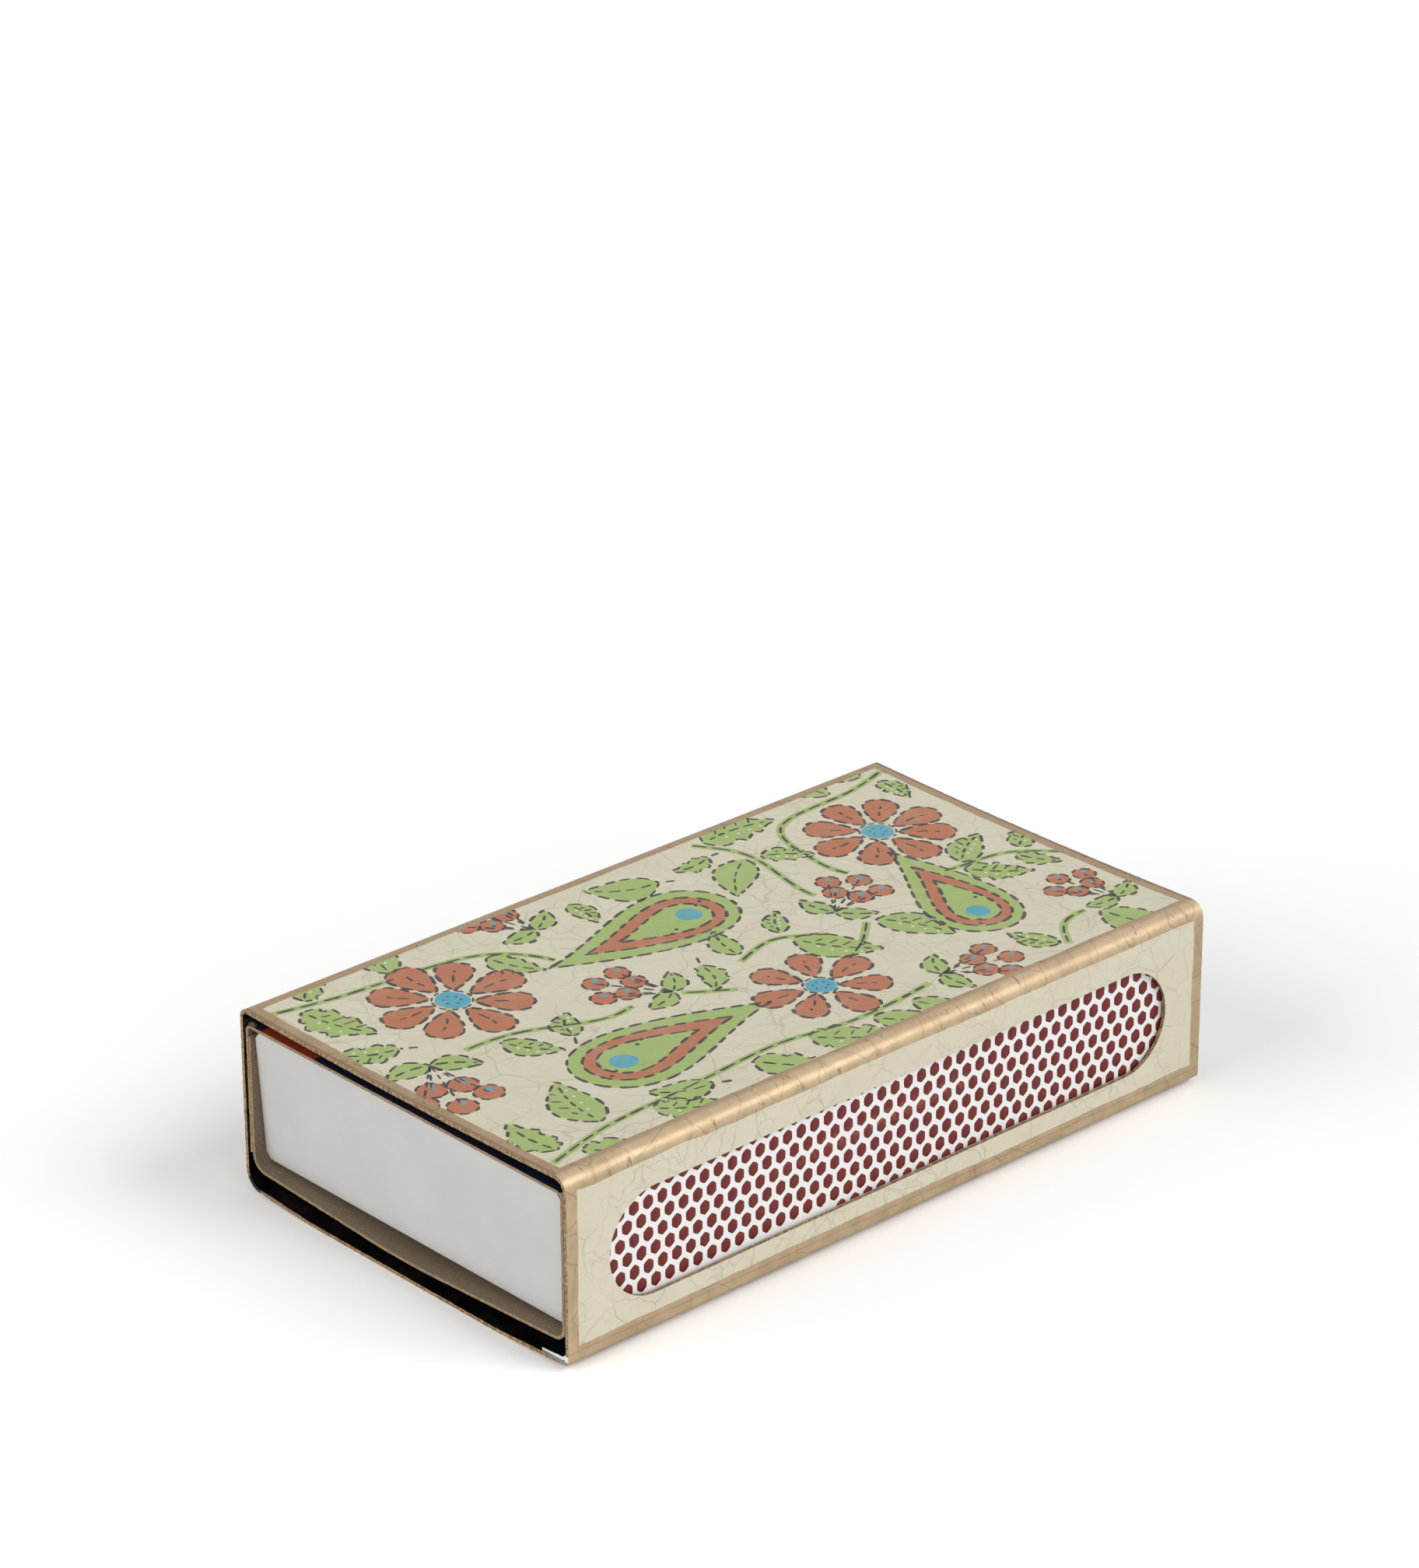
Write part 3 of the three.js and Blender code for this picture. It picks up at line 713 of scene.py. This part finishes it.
class Print:
    """Flat inks on the top face: one mesh for each colour, and the room that is taken."""

    def __init__(self):
        self.bms = {k: bmesh.new() for k in INKS}
        self.taken = []
        self.rng = random.Random(29)

    def plate(self, ink, ring, lift):
        """One thin plate that follows the sagging top, cut off at the edges of the print."""
        bm = bmesh.new()
        bm.faces.new([bm.verts.new((x, y, 0)) for x, y in ring])
        left, right = min(p[0] for p in ring), max(p[0] for p in ring)
        if right - left > PLATE_CUTS:
            for x in range(-32, 32, PLATE_CUTS):
                if left < x < right:
                    slice_plate(bm, (x, 0, 0), (1, 0, 0), False)
        slice_plate(bm, (PRINT_X[0], 0, 0), (-1, 0, 0), True)
        slice_plate(bm, (PRINT_X[1], 0, 0), (1, 0, 0), True)
        slice_plate(bm, (0, PRINT_Y, 0), (0, 1, 0), True)
        slice_plate(bm, (0, -PRINT_Y, 0), (0, -1, 0), True)
        if bm.faces:
            made = bmesh.ops.extrude_face_region(bm, geom=bm.faces[:], use_keep_orig=True)["geom"]
            up = {v for v in made if isinstance(v, bmesh.types.BMVert)}
            for v in bm.verts:
                v.co.z = top_z(v.co.x) + (lift if v in up else INK_FOOT)
            bmesh.ops.recalc_face_normals(bm, faces=bm.faces)
            me = bpy.data.meshes.new("one_plate")
            bm.to_mesh(me)
            self.bms[ink].from_mesh(me)
            bpy.data.meshes.remove(me)
        bm.free()

    def dashes(self, line, width=0.50, closed=False, dash=(2.0, 3.3), gap=(0.6, 1.0)):
        """Pen dashes with tapered ends along a line."""
        pts = [Vector(p) for p in line] + ([Vector(line[0])] if closed else [])
        far = [0.0]
        for a, b in zip(pts, pts[1:]):
            far.append(far[-1] + (b - a).length)

        def at(d):
            """The point at a distance along the line, and the way across it."""
            d = min(max(d, 0.0), far[-1])
            k = 1
            while far[k] < d and k < len(far) - 1:
                k += 1
            a, b = pts[k - 1], pts[k]
            share = (d - far[k - 1]) / max(far[k] - far[k - 1], 1e-6)
            along = (b - a).normalized()
            return a.lerp(b, share), Vector((-along.y, along.x))

        d = self.rng.uniform(0, 0.6)
        while d < far[-1] - 0.5:
            size = min(self.rng.uniform(*dash), far[-1] - d)
            w = width * self.rng.uniform(0.75, 1.2) / 2
            left, right = [], []
            for u in (0.0, 0.18, 0.5, 0.82, 1.0):
                p, side = at(d + u * size)
                h = w * (0.35 if u in (0.0, 1.0) else self.rng.uniform(0.85, 1.1))
                left.append(p + side * h)
                right.append(p - side * h)
            self.plate("ink", [tuple(p) for p in left + right[::-1]], DASH_LIFT)
            d += size + self.rng.uniform(*gap)

    def blob(self, ink, at, r, lift, sides=9, rough=0.12):
        """A small round spot with an uneven rim."""
        ring = []
        for k in range(sides):
            a = 2 * math.pi * k / sides
            q = r * (1 + self.rng.uniform(-rough, rough))
            ring.append((at[0] + q * math.cos(a), at[1] + q * math.sin(a)))
        self.plate(ink, ring, lift)

    def free(self, x, y, r):
        """Whether a disc touches nothing that is taken."""
        return all((x - a) ** 2 + (y - b) ** 2 > (r + q) ** 2 for a, b, q in self.taken)

    def take(self, ring):
        """Marks the room that a motif covers, as small discs inside its ring."""
        cx = sum(p[0] for p in ring) / len(ring)
        cy = sum(p[1] for p in ring) / len(ring)
        for x, y in ring[::3]:
            for u in (0.25, 0.6, 0.9):
                self.taken.append((cx + u * (x - cx), cy + u * (y - cy), 1.7))

    def leaf(self, spot, wide=0.36, bend=0.12, teeth=0, veined=False):
        """A leaf with a dashed rim and rib. A veined one has dashed veins and white dots too."""
        def middle(u):
            return bend * math.sin(math.pi * u)

        half = []
        for k in range(17):
            u = k / 16
            v = wide * math.sin(math.pi * u ** 0.82) ** 0.9 * (1 - 0.25 * u)
            if teeth:
                v *= 1 - 0.42 * ((u * teeth + 0.4) % 1.0) * (0.15 < u < 0.95)
            half.append((u, v))
        upper = [(u, middle(u) + v) for u, v in half]
        lower = [(u, middle(u) - v) for u, v in half]
        local = upper + lower[-2:0:-1]
        ring = place(local, spot)
        self.plate("green", ring, LEAF_LIFT)
        self.take(ring)
        rim = place([(u * 1.02, v * 1.04) for u, v in local], spot)
        self.dashes(rim, closed=True, dash=(1.3, 2.4), gap=(0.5, 1.1), width=0.46)
        rib = [(u, middle(u)) for u in (0.08, 0.3, 0.5, 0.7, 0.88)]
        self.dashes(place(rib, spot), dash=(1.2, 2.0), width=0.40)
        if not veined:
            return
        for u in (0.24, 0.40, 0.56, 0.72):
            out = 0.62 * wide * math.sin(math.pi * u)
            vein = [(u, middle(u) + 0.04), (u + 0.08, middle(u) + out)]
            self.dashes(place(vein, spot), dash=(1.5, 2.2), width=0.32)
            dot, = place([(u + 0.07, middle(u) - 0.5 * out)], spot)
            self.blob("white", dot, 0.24, DASH_LIFT, 7, 0.15)

    def drop(self, spot, turn):
        """A curled drop: green, a rust stripe inside it and a green heart with a blue eye."""
        local = []
        for k in range(44):
            t = 2 * math.pi * k / 44
            u = (1 - math.cos(t)) / 2
            v = 0.36 * math.sin(t) * abs(math.sin(t / 2)) ** 1.2 + turn * 0.42 * (1 - u) ** 2.2
            local.append((u - 0.72, v))
        self.take(place(local, spot))
        coats = (("green", 1.0, LEAF_LIFT), ("rust", 0.74, STRIPE_LIFT), ("green", 0.50, HEART_LIFT))
        for ink, share, lift in coats:
            ring = place([(u * share, v * share) for u, v in local], spot)
            self.plate(ink, ring, lift)
            self.dashes(ring, closed=True, dash=(1.6, 2.8))
        eye, = place([(0.03, 0.0)], spot)
        self.blob("blue", eye, 0.065 * spot[3], EYE_LIFT, 14, 0.06)
        for dot in place([(u, 0.0) for u in (0.18, 0.13, -0.14, -0.19)], spot):
            self.blob("ink", dot, 0.34, DOT_LIFT)

    def daisy(self, x, y, size, petals):
        """Loose rust petals round a blue eye."""
        petal = [(0.27, 0.02), (0.42, 0.13), (0.62, 0.22), (0.8, 0.25), (0.93, 0.19), (1.0, 0.03),
                 (0.94, -0.16), (0.8, -0.24), (0.62, -0.21), (0.42, -0.12), (0.27, -0.02)]
        for k in range(petals):
            angle = 2 * math.pi * k / petals + self.rng.uniform(-0.05, 0.05)
            spot = (x, y, angle, size * self.rng.uniform(0.95, 1.03))
            ring = place(petal, spot)
            self.plate("rust", ring, LEAF_LIFT + PETAL_STEP * k)
            self.take(ring)
            self.dashes(ring, closed=True, dash=(1.5, 2.6), gap=(0.5, 0.9))
            rib = place([(0.45, 0), (0.62, 0.02), (0.78, 0.0)], spot)
            self.dashes(rib, dash=(1.4, 2.2), width=0.34)
        self.blob("blue", (x, y), size * 0.21, MIDDLE_LIFT, 18, 0.05)
        self.dashes(circle(x, y, size * 0.24, 3), closed=True, dash=(0.9, 1.5), gap=(0.4, 0.7), width=0.36)
        for k in range(6):
            seed = (x + size * 0.1 * math.cos(k), y + size * 0.1 * math.sin(k))
            self.blob("ink", seed, 0.2, SEED_LIFT, 6)

    def berries(self, x, y, degrees, size):
        """Five round rust berries on dashed stalks, with two small leaves at their foot."""
        angle = math.radians(degrees)
        r = 0.155 * size
        berries = [(0.92, 0.0), (0.74, 0.33), (0.74, -0.33), (0.50, 0.16), (0.50, -0.16)]
        for bx, by in place(berries, (x, y, angle, size)):
            self.dashes([(x, y), (bx, by)], dash=(1.3, 2.0), width=0.36)
            self.blob("rust", (bx, by), r, BERRY_LIFT, 18, 0.03)
            rim = circle(bx, by, r, 2.5)
            self.take(rim)
            self.dashes(rim, closed=True, dash=(1.2, 1.9), gap=(0.5, 0.9), width=0.42)
            self.blob("blue", (bx - 0.3 * r, by + 0.3 * r), 0.26 * r, DASH_LIFT, 8, 0.1)
        for side in (1, -1):
            self.leaf((x, y, angle + 1.25 * side, 0.52 * size), wide=0.32, bend=0.08 * side)

    def ribbon(self, path):
        """A narrow green band along a path."""
        bm = self.bms["green"]
        rings = []
        for i, p in enumerate(path):
            along = (path[min(i + 1, len(path) - 1)] - path[max(i - 1, 0)]).normalized()
            side = Vector((-along.y, along.x)) * STEM_HALF
            a, b = p + side, p - side
            corners = ((a, STEM_LIFT), (b, STEM_LIFT), (b, INK_FOOT), (a, INK_FOOT))
            rings.append([bm.verts.new((q.x, q.y, top_z(q.x) + z)) for q, z in corners])
        for a, b in zip(rings, rings[1:]):
            band(bm, a, b)
        bm.faces.new(rings[0][::-1])
        bm.faces.new(rings[-1])

    def vine(self, corners):
        """A stem: a green band with dashes along its middle, left out where a motif covers it."""
        line = smooth(corners)
        left, right = PRINT_X[0] + STEM_MARGIN, PRINT_X[1] - STEM_MARGIN
        run = []
        for p in line + [None]:
            inside = p and left < p.x < right and abs(p.y) < PRINT_Y - STEM_MARGIN
            if inside and self.free(p.x, p.y, -0.6):
                run.append(p)
                continue
            if len(run) > SHORTEST_STEM:
                self.ribbon(run)
                self.dashes(run, width=0.42)
            run = []
        return line

    def leaves_on(self, lines):
        """Leaves that grow out of the stems, the largest first. Returns how many."""
        room = ((0.25, 1.1), (0.5, 1.9), (0.8, 1.2), (1.02, 0.3))
        count = 0
        for size in (14, 13, 12, 11, 10, 9, 8, 7):
            for _ in range(400):
                line = self.rng.choice(lines)
                k = self.rng.randrange(1, len(line) - 1)
                along = line[k + 1] - line[k - 1]
                side = self.rng.choice((1, -1))
                angle = math.atan2(along.y, along.x) + side * math.radians(self.rng.uniform(28, 75))
                c, s = math.cos(angle), math.sin(angle)
                x, y = line[k].x + 1.6 * c, line[k].y + 1.6 * s
                if abs(x) >= LEAF_LIMIT:
                    continue
                if not all(self.free(x + u * size * c, y + u * size * s, r) for u, r in room):
                    continue
                teeth = (0, 3, 0, 4)[count % 4]
                self.leaf((x, y, angle, size), 0.36 if teeth else 0.29, 0.07 * side, teeth, count % 3 != 2)
                count += 1
                if count % 4 == 0:
                    break
        return count

    def leaves_between(self, count):
        """Loose leaves on short stalks wherever there is room."""
        for size in (11, 10, 9, 8, 8, 7, 7):
            for _ in range(300):
                x, y = self.rng.uniform(-29, 29), self.rng.uniform(-56, 56)
                angle = self.rng.uniform(0, 2 * math.pi)
                c, s = math.cos(angle), math.sin(angle)
                room = [(x + u * size * c, y + u * size * s) for u in (-0.1, 0.1, 0.4, 0.7, 1.05)]
                if all(self.free(a, b, 1.6) and abs(a) < LEAF_LIMIT for a, b in room):
                    self.leaf((x, y, angle, size), wide=0.34, teeth=(0, 3)[count % 2], veined=count % 3 == 0)
                    self.dashes([(x - 2.6 * c, y - 2.6 * s), (x, y)], dash=(1.2, 2.0))
                    count += 1
                    break


def top_print():
    """The generic print on the top: drops, daisies, berries, stems and leaves."""
    pr = Print()
    pr.drop((13.0, -31.0, math.radians(-62), 31), 1)
    pr.drop((-13.5, 4.0, math.radians(118), 30), 1)
    pr.drop((12.5, 36.0, math.radians(-40), 27), -1)
    pr.daisy(-16.0, -37.0, 12.0, 8)
    pr.daisy(15.0, 3.0, 10.5, 7)
    pr.daisy(-15.5, 43.5, 11.5, 8)
    pr.berries(-3.5, -51.5, -20, 14)
    pr.berries(-24.5, -14.5, 200, 12)
    pr.berries(24.0, 17.5, 75, 12)
    pr.berries(-0.5, 20.5, 118, 12)
    pr.berries(2.5, -13.0, 215, 12)
    pr.berries(23.5, 53.0, 190, 11)
    stems = [
        [(-29, -58), (-27, -48), (-24, -26), (-14, -18), (-4, -20), (3, -13), (8, -6)],
        [(1, -58), (-3, -50), (-3, -38), (2, -26), (2, -20)],
        [(29, -58), (26, -46), (25, -30), (24, -14), (26, 0), (24, 18), (18, 24)],
        [(-30, -4), (-25, -14), (-20, -18)],
        [(-30, 20), (-22, 24), (-8, 22), (1, 24), (8, 18), (12, 11)],
        [(-30, 58), (-28, 50), (-26, 34), (-14, 30), (-6, 32), (0, 40), (2, 52), (8, 59)],
        [(31, 36), (24, 42), (23, 53), (18, 59)],
        [(2, 0), (0, 8), (4, 15)],
    ]
    count = pr.leaves_on([pr.vine(corners) for corners in stems])
    pr.leaves_between(count)
    for ink, (color, mottle, dark) in INKS.items():
        bmesh.ops.recalc_face_normals(pr.bms[ink], faces=pr.bms[ink].faces)
        o = piece("print_" + ink, pr.bms[ink], [print_ink("ink_" + ink, color, mottle, dark)], smooth=False)
        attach(o, "holder")


def sleeve():
    """The folded card, from the top of its left wall's seam round to the flap inside that wall."""
    low_left, low_right, high = 2.4, 2.0, 1.1
    h = SLEEVE_HALF
    right, left = h - low_right, h - FLAP - low_left
    c = [(-h, SLEEVE_LIFT + low_left, 0), (-h, SLEEVE_H, high), (h, SLEEVE_H, high),
         (h, SLEEVE_LIFT, low_right), (right, bottom_z(right, h, SLEEVE_FLAT, SLEEVE_LIFT), 0),
         (SLEEVE_FLAT, 0, SOFT_BEND), (-SLEEVE_FLAT, 0, SOFT_BEND),
         (-left, bottom_z(left, h, SLEEVE_FLAT, SLEEVE_LIFT), 0),
         (FLAP - h, SLEEVE_LIFT, low_left), (FLAP - h, SLEEVE_H - 1.8, 0)]
    c = [(x, z + SLEEVE_FOOT, r) for x, z, r in c]
    o = sheet_mesh("sleeve_skin", round_line(c, 7), CARD, LENGTH - 0.4, 0.8,
                   [sleeve_print(), bare_card(), card_cut()], 0.12, 60)
    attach(o, "sleeve")
    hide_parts("matchbox_sleeve")


def torn_fibres():
    """Where the card has torn: a patch on the sleeve's floor and a tuft on its top left corner."""
    patch_x, patch_y, patch_width, patch_depth = -26.8, -59.0, 1.7, 0.62
    tuft_x, foremost = -31.75, -59.6
    rng = random.Random(17)
    bm = bmesh.new()

    def sliver(p, way, size, w):
        side = way.cross(Vector((0.3, 0.2, 1))).normalized() * w
        high = way.cross(side).normalized() * w
        a = [bm.verts.new(p + q) for q in (side, high, -side, -high)]
        tip = bm.verts.new(p + way * size)
        for k in range(4):
            bm.faces.new((a[k], a[(k + 1) % 4], tip))
        bm.faces.new(a[::-1])

    for _ in range(46):
        a, r = rng.uniform(0, 2 * math.pi), rng.uniform(0, 1) ** 0.5
        x, y = patch_x + patch_width * r * math.cos(a), patch_y + patch_depth * r * math.sin(a)
        z = bottom_z(x, SLEEVE_HALF, SLEEVE_FLAT, SLEEVE_LIFT, SLEEVE_FOOT + CARD) + 0.05
        way = Vector((math.cos(a), 0.5 * math.sin(a), rng.uniform(0.0, 0.25))).normalized()
        size = rng.uniform(0.3, 0.9)
        if way.y < 0:
            size = min(size, (y - foremost) / max(0.2, -way.y))
        sliver(Vector((x, y, z)), way, size, 0.035)
    for _ in range(34):
        x, y = tuft_x + rng.uniform(-0.45, 0.6), rng.uniform(-59.72, -59.1)
        way = Vector((rng.uniform(-0.5, 0.6), rng.uniform(-0.1, 0.3), rng.uniform(0.15, 1.0))).normalized()
        sliver(Vector((x, y, SLEEVE_TOP + 0.03)), way, rng.uniform(0.25, 0.65), 0.045)
    o = piece("torn_fibres", bm, [bpy.data.materials["card_cut_edge"]], smooth=False)
    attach(o, "sleeve")


def dots():
    """The striking dots on both sides of the sleeve, as thin printed pads cut off at two lines."""
    pitch, row, corners, slope = 2.5, 2.39, 12, 0.017
    half_width, half_height, uneven = 0.92, 1.08, 0.04
    low, high = 6.0, SLEEVE_TOP - 1.15
    foot, face, shrink = -0.01, 0.035, 0.96
    rng = random.Random(4)
    bm = bmesh.new()
    for side in (1, -1):
        for j in range(9):
            count = 48 if j % 2 else 47
            for i in range(count):
                y = (i - (count - 1) / 2) * pitch
                z = 4.8 + row * (j + 0.45) + slope * y
                ring = []
                for k in range(corners):
                    a = 2 * math.pi * k / corners
                    rx = half_width * (1 + uneven * rng.uniform(-1, 1))
                    rz = half_height * (1 + uneven * rng.uniform(-1, 1))
                    flat = 1.0 - 0.05 * math.cos(6 * a)
                    q = z + rz * flat * math.sin(a)
                    ring.append((y + rx * flat * math.cos(a), min(max(q, low), high)))
                heights = [q for _, q in ring]
                if max(heights) - min(heights) < 0.8:
                    continue
                cy, cz = sum(p for p, _ in ring) / corners, sum(heights) / corners
                under = [bm.verts.new((side * (SLEEVE_HALF + foot), p, q)) for p, q in ring]
                ring = [(cy + (p - cy) * shrink, cz + (q - cz) * shrink) for p, q in ring]
                over = [bm.verts.new((side * (SLEEVE_HALF + face), p, q)) for p, q in ring]
                if side > 0:
                    bm.faces.new(over)
                    band(bm, under, over)
                else:
                    bm.faces.new(over[::-1])
                    band(bm, over, under)
    o = piece("striker_dots", bm, [striker()], sharp=60)
    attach(o, "sleeve")


def tray_end(end, mats):
    """A leaning end wall that bellies in a little, with notched upper corners and a pale cut line."""
    rows, cols = 18, 60
    lean, belly, curl, notch = 1.3, 0.25, 0.9, 1.0
    cut_line, wider_left = 0.16, 0.24
    half = TRAY_W / 2
    bm = bmesh.new()
    outer, inner = [], []
    for k in range(rows + 1):
        s = 0.012 * k if k < 2 else 0.012 + 0.988 * (k - 1) / (rows - 1)
        z = TRAY_H * s
        arc = max(0.0, curl - z)
        y = TRAY_LENGTH / 2 + lean * s - (curl - math.sqrt(max(0.0, curl * curl - arc * arc)))
        ro, ri = [], []
        for j in range(cols + 1):
            u = (-1 + 2 * (j - 1) / (cols - 2)) * (1 - cut_line / half)
            if j in (0, cols):
                u = -1 if j == 0 else 1
            w = half + (wider_left if u < 0 else 0.0)
            w -= max(0.0, TRAY_FOLD - z) * 0.4 + max(0.0, z - (TRAY_H - notch))
            yy = y - belly * (1 - u * u) * math.sin(math.pi * s)
            ro.append(bm.verts.new((u * w + TRAY_X, end * yy, z + TRAY_FOOT + 0.001)))
            high = z + TRAY_FOOT + (CARD if k == 0 else 0)
            ri.append(bm.verts.new((u * w + TRAY_X, end * (yy - CARD), high)))
        outer.append(ro)
        inner.append(ri)
    close_sheet(bm, outer, inner, cut_rim=True)
    return piece("tray_end_front" if end < 0 else "tray_end_back", bm, mats)


def tray_tab(end, side, mats):
    """The corner tab behind an end wall, folded in from a long wall."""
    y1 = end * (TRAY_LENGTH / 2 - 0.9)
    y0 = y1 - end * CARD
    edge = TRAY_X + side * (TRAY_W / 2 - 0.2)
    far = edge - side * 9
    pts = [(edge, 2.6), (edge, TRAY_H - 1.6), (edge - side * 7.4, TRAY_H - 3.0), (far, TRAY_H - 4.2),
           (far, 4.2)]
    bm = bmesh.new()
    a = [bm.verts.new((x, y0, z + TRAY_FOOT)) for x, z in pts]
    b = [bm.verts.new((x, y1, z + TRAY_FOOT)) for x, z in pts]
    bm.faces.new(a).material_index = 1
    bm.faces.new(b).material_index = 0
    band(bm, a, b, 2)
    bmesh.ops.recalc_face_normals(bm, faces=bm.faces)
    name = "tray_tab_%s_%s" % ("front" if end < 0 else "back", "left" if side < 0 else "right")
    return piece(name, bm, mats)


def tray():
    """Floor and long walls, leaning end walls and corner tabs, as skins of one card."""
    mats = [tray_white(), bare_card(), card_cut()]
    half = TRAY_W / 2
    c = [(half, TRAY_H, 0), (half, 0, TRAY_FOLD), (-half, 0, TRAY_FOLD), (-half, TRAY_H, 0)]
    c = [(x + TRAY_X, z + TRAY_FOOT, r) for x, z, r in c]
    parts = [sheet_mesh("tray_trough", round_line(c, 9), CARD, TRAY_LENGTH - 1.8, 1.5, mats, 0.03, 40)]
    for end in (-1, 1):
        parts.append(tray_end(end, mats))
        parts += [tray_tab(end, side, mats) for side in (-1, 1)]
    for p in parts:
        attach(p, "tray")
    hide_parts("matchbox_tray")


# A match: half its stick's width, its bevel and its roughness, then radii along its head
STICK_HALF, STICK_BEVEL, STICK_ROUGH = 1.1, 0.16, 0.02
HEAD_LENGTH = 4.6
HEAD = [(0.0, 0.96), (0.45, 1.0), (1.1, 1.26), (2.0, 1.42), (3.0, 1.36), (3.8, 1.05), (4.35, 0.6)]
HEAD_SIDES = 12


def match(bm, at, length, roll, yaw, flip, rng):
    """One match along X: a sawn stick and a dipped head. Materials: 0 wood, 1 head."""
    heading = yaw + (math.pi if flip else 0)
    moved = Matrix.Translation(at) @ Matrix.Rotation(heading, 4, "Z") @ Matrix.Rotation(roll, 4, "X")
    rings = []
    back, front = -length / 2, length / 2
    for x, s in ((back, STICK_HALF - 0.1), (back + 0.12, STICK_HALF), (front - 3.2, STICK_HALF)):
        m = s - STICK_BEVEL
        ring = []
        for p, q in ((m, s), (s, m), (s, -m), (m, -s), (-m, -s), (-s, -m), (-s, m), (-m, s)):
            p += rng.uniform(-STICK_ROUGH, STICK_ROUGH)
            q += rng.uniform(-STICK_ROUGH, STICK_ROUGH)
            ring.append(bm.verts.new(moved @ Vector((x, p, q))))
        rings.append(ring)
    for a, b in zip(rings, rings[1:]):
        band(bm, a, b)
    bm.faces.new(rings[0])
    last = None
    start = front - HEAD_LENGTH
    for d, r in HEAD:
        ring = []
        for k in range(HEAD_SIDES):
            a = 2 * math.pi * k / HEAD_SIDES
            rr = r * (1 + 0.05 * rng.uniform(-1, 1))
            ring.append(bm.verts.new(moved @ Vector((start + d, rr * math.cos(a), rr * math.sin(a)))))
        if last:
            band(bm, last, ring, 1)
        else:
            bm.faces.new(ring[::-1]).material_index = 1
        last = ring
    tip = bm.verts.new(moved @ Vector((start + 4.58, 0, 0)))
    for k in range(HEAD_SIDES):
        bm.faces.new((last[k], last[(k + 1) % HEAD_SIDES], tip)).material_index = 1


def match_piece(name, bm, mats, nodes):
    """Makes one piece of many matches, in place of their nodes."""
    bmesh.ops.recalc_face_normals(bm, faces=bm.faces)
    o = piece(name, bm, mats, sharp=40)
    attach(o, "tray")
    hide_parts(*nodes)


def matches():
    """The loose top layer, each match where its solid is, and the layers under it."""
    layers, step, pitch = 5, 2.32, 2.9
    mats = [wood(), head_red()]
    rng = random.Random(11)
    loose = sorted(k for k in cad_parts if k.startswith("match_") and k != "match_stack")
    bm = bmesh.new()
    for i, name in enumerate(loose):
        lo, hi = [Vector(v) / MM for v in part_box(name)]
        match(bm, (lo + hi) / 2, hi.x - lo.x, math.radians(rng.uniform(-6, 6)), 0.0, i % 2 == 1, rng)
    match_piece("loose_matches", bm, mats, loose)
    lo, hi = [Vector(v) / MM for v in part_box("match_stack")]
    bm = bmesh.new()
    across = round((hi.y - lo.y + 0.12) / pitch)
    for j in range(layers):
        for i in range(across):
            y = lo.y + pitch / 2 + (hi.y - lo.y - pitch) * i / (across - 1)
            at = (TRAY_X + rng.uniform(-0.5, 0.5), y + rng.uniform(-0.05, 0.05), lo.z + 1.15 + j * step)
            roll, yaw = math.radians(rng.uniform(-4, 4)), math.radians(rng.uniform(-0.1, 0.1))
            match(bm, Vector(at), hi.x - lo.x + 3.4, roll, yaw, (i + j) % 2 == 1, rng)
    match_piece("packed_matches", bm, mats, ["match_stack"])


def white_floor():
    """A white floor that looks brighter than it is lit."""
    t = Tree("floor_white")
    seen = t.node("LightPath").outputs["Is Camera Ray"]
    lit, bright = (FLOOR_LIT, FLOOR_LIT, FLOOR_LIT, 1), (FLOOR_SEEN, FLOOR_SEEN, FLOOR_SEEN, 1)
    t.put(t.shader.inputs["Base Color"], t.mix(seen, lit, bright))
    t.shader.inputs["Roughness"].default_value = 1.0
    t.shader.inputs["Specular IOR Level"].default_value = 0.0
    bm = bmesh.new()
    bmesh.ops.create_grid(bm, x_segments=8, y_segments=8, size=4 / MM)
    floor = piece("floor", bm, [t.material], smooth=False)
    floor.location.z = -0.02 * MM


def white_world():
    """A white world, at full strength to the camera, in mirrors and through glass."""
    world = bpy.data.worlds.new("studio")
    bpy.context.scene.world = world
    world.use_nodes = True
    tree = world.node_tree
    rays = tree.nodes.new("ShaderNodeLightPath")
    seen = rays.outputs["Is Camera Ray"]
    for kind in ("Is Glossy Ray", "Is Transmission Ray"):
        either = tree.nodes.new("ShaderNodeMath")
        either.operation = "MAXIMUM"
        tree.links.new(seen, either.inputs[0])
        tree.links.new(rays.outputs[kind], either.inputs[1])
        seen = either.outputs[0]
    strength = tree.nodes.new("ShaderNodeMapRange")
    tree.links.new(seen, strength.inputs[0])
    strength.inputs[3].default_value = WORLD
    strength.inputs[4].default_value = 1.0
    background = tree.nodes["Background"]
    tree.links.new(strength.outputs[0], background.inputs["Strength"])
    background.inputs["Color"].default_value = (1, 1, 1, 1)


def stage():
    """Floor, world and lamps."""
    white_floor()
    white_world()
    broad_lamp("key", (0.8, 0.5, 0.9), KEY, 35)
    broad_lamp("side", (1.0, -0.15, 0.45), SIDE, 50)
    broad_lamp("front", (-0.34, -1.05, 0.55), FRONT, 50)


scene = bpy.context.scene
scene.view_settings.view_transform = "Standard"
look()
stage()
holder()
seam_wrap()
top_print()
sleeve()
torn_fibres()
dots()
tray()
matches()

bpy.context.view_layer.update()
